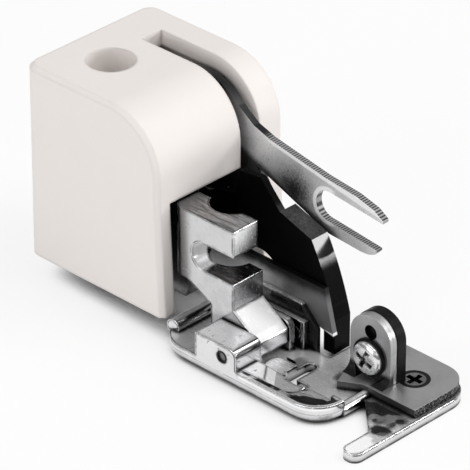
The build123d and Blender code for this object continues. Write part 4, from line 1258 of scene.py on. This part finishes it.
@dataclass
class EdgeGuide(SubAssembly):
    """Grey guide plate with the ear stack and its screws."""

    title: ClassVar[str] = "guide"
    body: ClassVar[str] = "foot"
    finishes: ClassVar[dict[str, Finish]] = {
        "guide_plate": SATIN_SHEET,
        "ear_plate": EAR_SHEET,
        "nut_plate": BLACK_SCREW,
        # The washer's black is partly its own finish and partly painted shade round the pan head.
        "pan_washer": BLACK_SCREW,
        "pan_screw": SCREW_HEAD,
        "flat_screw": FLAT_HEAD,
    }
    head_radius: float = 2.3
    head_edge: float = 0.3
    washer_radius: float = 2.65
    stem_radius: float = 1.5
    end_radius: float = 0.001
    cross_reach: float = 1.45
    cross_half: float = 0.36
    cross_soft: float = 0.14
    cross_depth: float = 0.75
    cross_turn: float = 24.0
    dome_rows: int = 36
    ring_steps: int = 96
    flat_radii: Span = (2.12, 1.55)
    flat_lift: float = 0.012

    def build(self) -> list[Object]:
        """Makes the pan screw with its washer, and the dark ring of painted shade in the flat screw's
        countersink.
        """
        return [self.build_pan_screw(), self.build_washer(), self.build_countersink_shade()]

    def box_mm(self, node: str) -> tuple[Point, Point]:
        """Lowest and highest corner of a CAD node, in millimetres."""
        low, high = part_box(node)
        return tuple(value / MM for value in low), tuple(value / MM for value in high)

    def pan_axis(self) -> Spot:
        """Y and Z of the pan screw's axis, in millimetres."""
        low, high = self.box_mm("pan_screw")
        return (low[1] + high[1]) / 2, (low[2] + high[2]) / 2

    def pan_rings(self, profile: list[Spot]) -> list[list[Point]]:
        """Rings round the pan screw's axis, from the place along X and the radius of each."""
        axis = self.pan_axis()
        return [ring_round(Axis.X, (place, *axis), radius, self.ring_steps) for place, radius in profile]

    def cross_dip(self, across: float, up: float) -> float:
        """How deep the cross recess is at a spot of the head, in millimetres.

        Args:
            across: Distance from the axis along Y.
            up: Distance from the axis along Z.

        Returns:
            The depth under the dome.
        """
        turn = math.radians(self.cross_turn)
        along = abs(across * math.cos(turn) + up * math.sin(turn))
        aside = abs(up * math.cos(turn) - across * math.sin(turn))
        share = 0.0
        for length, width in ((along, aside), (aside, along)):
            inside = min(self.cross_reach - length, self.cross_half - width)
            share = max(share, min(max(inside / self.cross_soft, 0.0), 1.0))
        return self.cross_depth * share

    def build_pan_screw(self) -> Object:
        """Domed head with a cross recess, and its stem, in the place of the plain CAD screw.

        Returns:
            The screw.
        """
        low, high = self.box_mm("pan_screw")
        seat, end = self.box_mm("pan_washer")[0][0], high[0]
        dome = seat - low[0] - self.head_edge
        profile: list[Spot] = []
        for row in range(self.dome_rows + 1):
            radius = max(self.head_radius * row / self.dome_rows, self.end_radius)
            lift = self.head_edge + dome * math.sqrt(max(1.0 - (radius / self.head_radius) ** 2, 0.0))
            profile.append((seat - lift, radius))
        mid_y, mid_z = self.pan_axis()
        rings = [
            [(x + self.cross_dip(y - mid_y, z - mid_z), y, z) for x, y, z in ring]
            for ring in self.pan_rings(profile)
        ]
        rings += self.pan_rings([(seat, self.head_radius), (seat, self.stem_radius)])
        rings += self.pan_rings([(end, self.stem_radius), (end, self.end_radius)])
        screw = self.add_lathe("pan_screw_domed", rings, SCREW_HEAD, "zinc_steel")
        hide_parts("pan_screw")
        return screw

    def build_washer(self) -> Object:
        """Thin black washer under the pan head, in the place of the plain CAD washer; its black also stands
        in for the shade round the head, as painted shade.

        Returns:
            The washer.
        """
        near, far = (corner[0] for corner in self.box_mm("pan_washer"))
        rings = self.pan_rings([(near, self.stem_radius), (near, self.washer_radius)])
        rings += self.pan_rings([(far, self.washer_radius), (far, self.stem_radius)])
        # Black washer that is also painted shade round the head.
        washer = self.add_lathe("pan_washer_thin", rings, BLACK_SCREW, "zinc_steel", closed=True)
        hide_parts("pan_washer")
        return washer

    def build_countersink_shade(self) -> Object:
        """Dark ring of painted shade round the flat screw's head, in the countersink.

        Returns:
            The ring.
        """
        low, high = self.box_mm("flat_screw")
        centre = ((low[0] + high[0]) / 2, (low[1] + high[1]) / 2, high[2] + self.flat_lift)
        rings = [ring_round(Axis.Z, centre, radius, self.ring_steps) for radius in self.flat_radii]
        # Painted shade in the countersink.
        return self.add_lathe("countersink_ring", rings, CREASE_SHADE, "black_steel")


@dataclass(frozen=True)
class PhotoCamera:
    """Camera that stands where the photograph was taken from."""

    azimuth: float = -45.8
    elevation: float = 30.6
    distance_mm: float = 590.0
    focal_px: float = 4500.0
    frame_px: float = 470.0
    sensor_mm: float = 36.0
    clip: Span = (0.01, 20.0)
    target_mm: Point = (4.778, 4.258, 10.811)

    def build(self) -> Object:
        """Makes the camera and names it the scene's.

        Returns:
            The camera object.
        """
        data = bpy.data.cameras.new("photo_camera")
        data.sensor_width = self.sensor_mm
        data.lens = self.sensor_mm * self.focal_px / self.frame_px
        data.clip_start, data.clip_end = self.clip
        camera = new_object("photo_camera", data)
        turn, lift = math.radians(self.azimuth), math.radians(self.elevation)
        back = Vector((math.sin(turn) * math.cos(lift), -math.cos(turn) * math.cos(lift), math.sin(lift)))
        camera.location = (Vector(self.target_mm) + back * self.distance_mm) * MM
        look_along(camera, -back)
        bpy.context.scene.camera = camera
        return camera


@dataclass(frozen=True)
class Softbox:
    """Square area lamp that looks at the part."""

    name: str
    place: Point
    size: float
    power: float

    def build(self, aim: Point) -> Object:
        """Makes the lamp.

        Args:
            aim: Point that the lamp looks at.

        Returns:
            The lamp object.
        """
        data = bpy.data.lights.new(self.name, "AREA")
        data.size = self.size
        data.energy = self.power
        lamp = new_object(self.name, data)
        lamp.location = self.place
        look_along(lamp, Vector(aim) - Vector(self.place))
        return lamp


@dataclass(frozen=True)
class DarkScreen:
    """Dark studio screen all round the part, which the metal reflects and the camera doesn't see."""

    name: str
    lift_from: float
    lift_to: float
    radius: float = 1.2
    tone: float = 0.01
    panels: int = 72

    def build(self) -> Object:
        """Makes the screen round the part.

        Returns:
            The screen object.
        """
        points: list[Point] = []
        for panel in range(self.panels + 1):
            turn = 2.0 * math.pi * panel / self.panels
            for lift in (self.lift_from, self.lift_to):
                height = self.radius * math.tan(math.radians(lift))
                points.append((self.radius * math.sin(turn), -self.radius * math.cos(turn), height))
        faces = [(2 * panel, 2 * panel + 2, 2 * panel + 3, 2 * panel + 1) for panel in range(self.panels)]
        mesh = bpy.data.meshes.new(self.name)
        mesh.from_pydata(points, [], faces)
        mesh.materials.append(self.screen_material())
        screen = new_object(self.name, mesh)
        screen.visible_shadow = False
        screen.visible_diffuse = False
        return screen

    def screen_material(self) -> bpy.types.Material:
        """Plain dark cloth that camera rays pass through.

        Returns:
            The material.
        """
        made, graph = new_material(self.name)
        seen = graph.node("ShaderNodeLightPath", output=Ray.CAMERA.value)
        cloth = {"Color": (*grey(self.tone, 0.0), 1.0), "Strength": 1.0}
        dark = graph.node("ShaderNodeEmission", None, cloth)
        graph.close(graph.mix_shader(seen, dark, graph.node("ShaderNodeBsdfTransparent")))
        return made


@dataclass(frozen=True)
class Studio:
    """White floor, white surroundings, soft lamps and dark screens."""

    floor_half: float = 3.0
    floor_drop_mm: float = 0.02
    floor_white: float = 0.93
    # Painted shadow: the paper's tone where the part covers the floor.
    floor_painted_shadow: float = 0.06
    floor_glow: float = 0.8
    shadow_mm: float = 14.0
    shadow_span: Span = (0.10, 0.56)
    cover_mm: float = 45.0
    cover_span: Span = (0.16, 0.38)
    shadow_samples: int = 14
    ambient: float = 0.45
    aim: Point = (0.003, 0.0, 0.012)
    lamps: tuple[Softbox, ...] = (
        Softbox("key_box", (0.24, -0.34, 0.58), 0.40, 2.1),
        Softbox("top_box", (-0.10, 0.10, 0.75), 0.55, 0.45),
        Softbox("side_box", (-0.55, 0.05, 0.25), 0.35, 1.05),
        Softbox("front_box", (0.50, -0.61, 0.19), 0.16, 1.35),
    )
    screens: tuple[DarkScreen, ...] = (
        DarkScreen("low_screen", 0.5, 26.0),
        DarkScreen("high_screen", 42.0, 62.0),
    )

    def build(self) -> list[Object]:
        """Makes the floor, the world, the lamps and the dark screens.

        Returns:
            The floor, the lamps and the screens.
        """
        floor = self.build_floor()
        self.build_world()
        lamps = [lamp.build(self.aim) for lamp in self.lamps]
        return [floor, *lamps, *(screen.build() for screen in self.screens)]

    def build_floor(self) -> Object:
        """White floor that keeps the part's soft shadow, deepened by a painted shadow where the part covers
        it.

        Returns:
            The floor object.
        """
        reach = self.floor_half
        corners = [(-reach, -reach, 0), (reach, -reach, 0), (reach, reach, 0), (-reach, reach, 0)]
        mesh = bpy.data.meshes.new("floor")
        mesh.from_pydata(corners, [], [(0, 1, 2, 3)])
        mesh.materials.append(self.floor_material())
        floor = new_object("floor", mesh)
        floor.location = (0.0, 0.0, -self.floor_drop_mm * MM)
        return floor

    def floor_material(self) -> bpy.types.Material:
        """White paper that camera and mirror rays see nearly white, with a light shadow from the lamps and a
        painted shadow, darker paper and less glow, where the part covers it.

        Returns:
            The material.
        """
        made, graph = new_material("floor_white")
        near = graph.hollow(self.shadow_mm, self.shadow_span, self.shadow_samples)
        open_sky = near.least(graph.hollow(self.cover_mm, self.cover_span, self.shadow_samples))
        # Painted shadow: the paper is darker, and glows less, where the part covers it.
        white = graph.mix(open_sky, grey(self.floor_painted_shadow, 0.0), grey(self.floor_white, 0.0))
        sockets = {"Base Color": white, "Roughness": 1.0, "Specular IOR Level": 0.0}
        paper = graph.node("ShaderNodeBsdfPrincipled", None, sockets)
        glow = graph.node("ShaderNodeEmission", None, {"Color": WHITE, "Strength": 1.0})
        graph.close(graph.mix_shader(graph.shown() * self.floor_glow * open_sky, paper, glow))
        return made

    def build_world(self) -> None:
        """White for camera and mirror rays, and a plain soft ambient level for the rest."""
        world = bpy.data.worlds.new("studio_white")
        bpy.context.scene.world = world
        world.use_nodes = True
        graph = Graph(world.node_tree)
        soft, plain = (
            graph.node("ShaderNodeBackground", None, {"Color": WHITE, "Strength": strength})
            for strength in (self.ambient, 1.0)
        )
        graph.close(graph.mix_shader(graph.shown(), soft, plain), Ending.WORLD)


def main() -> None:
    """Builds the scene in order and reports each piece."""
    logging.basicConfig(level=logging.INFO, format="%(message)s")
    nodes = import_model()["nodes"]
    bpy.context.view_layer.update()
    bpy.context.scene.view_settings.view_transform = "Standard"
    for thing in (PhotoCamera().build(), *Studio().build()):
        LOG.info("studio: built %s", thing.name)
    for kind in (Housing, Shank, ForkLever, KnifeArm, Sole, EdgeGuide):
        group = kind(nodes)
        for piece in group.build():
            LOG.info("%s: built %s with %d faces", group.title, piece.name, len(piece.data.polygons))
        group.dress()


if __name__ == "__main__":
    main()
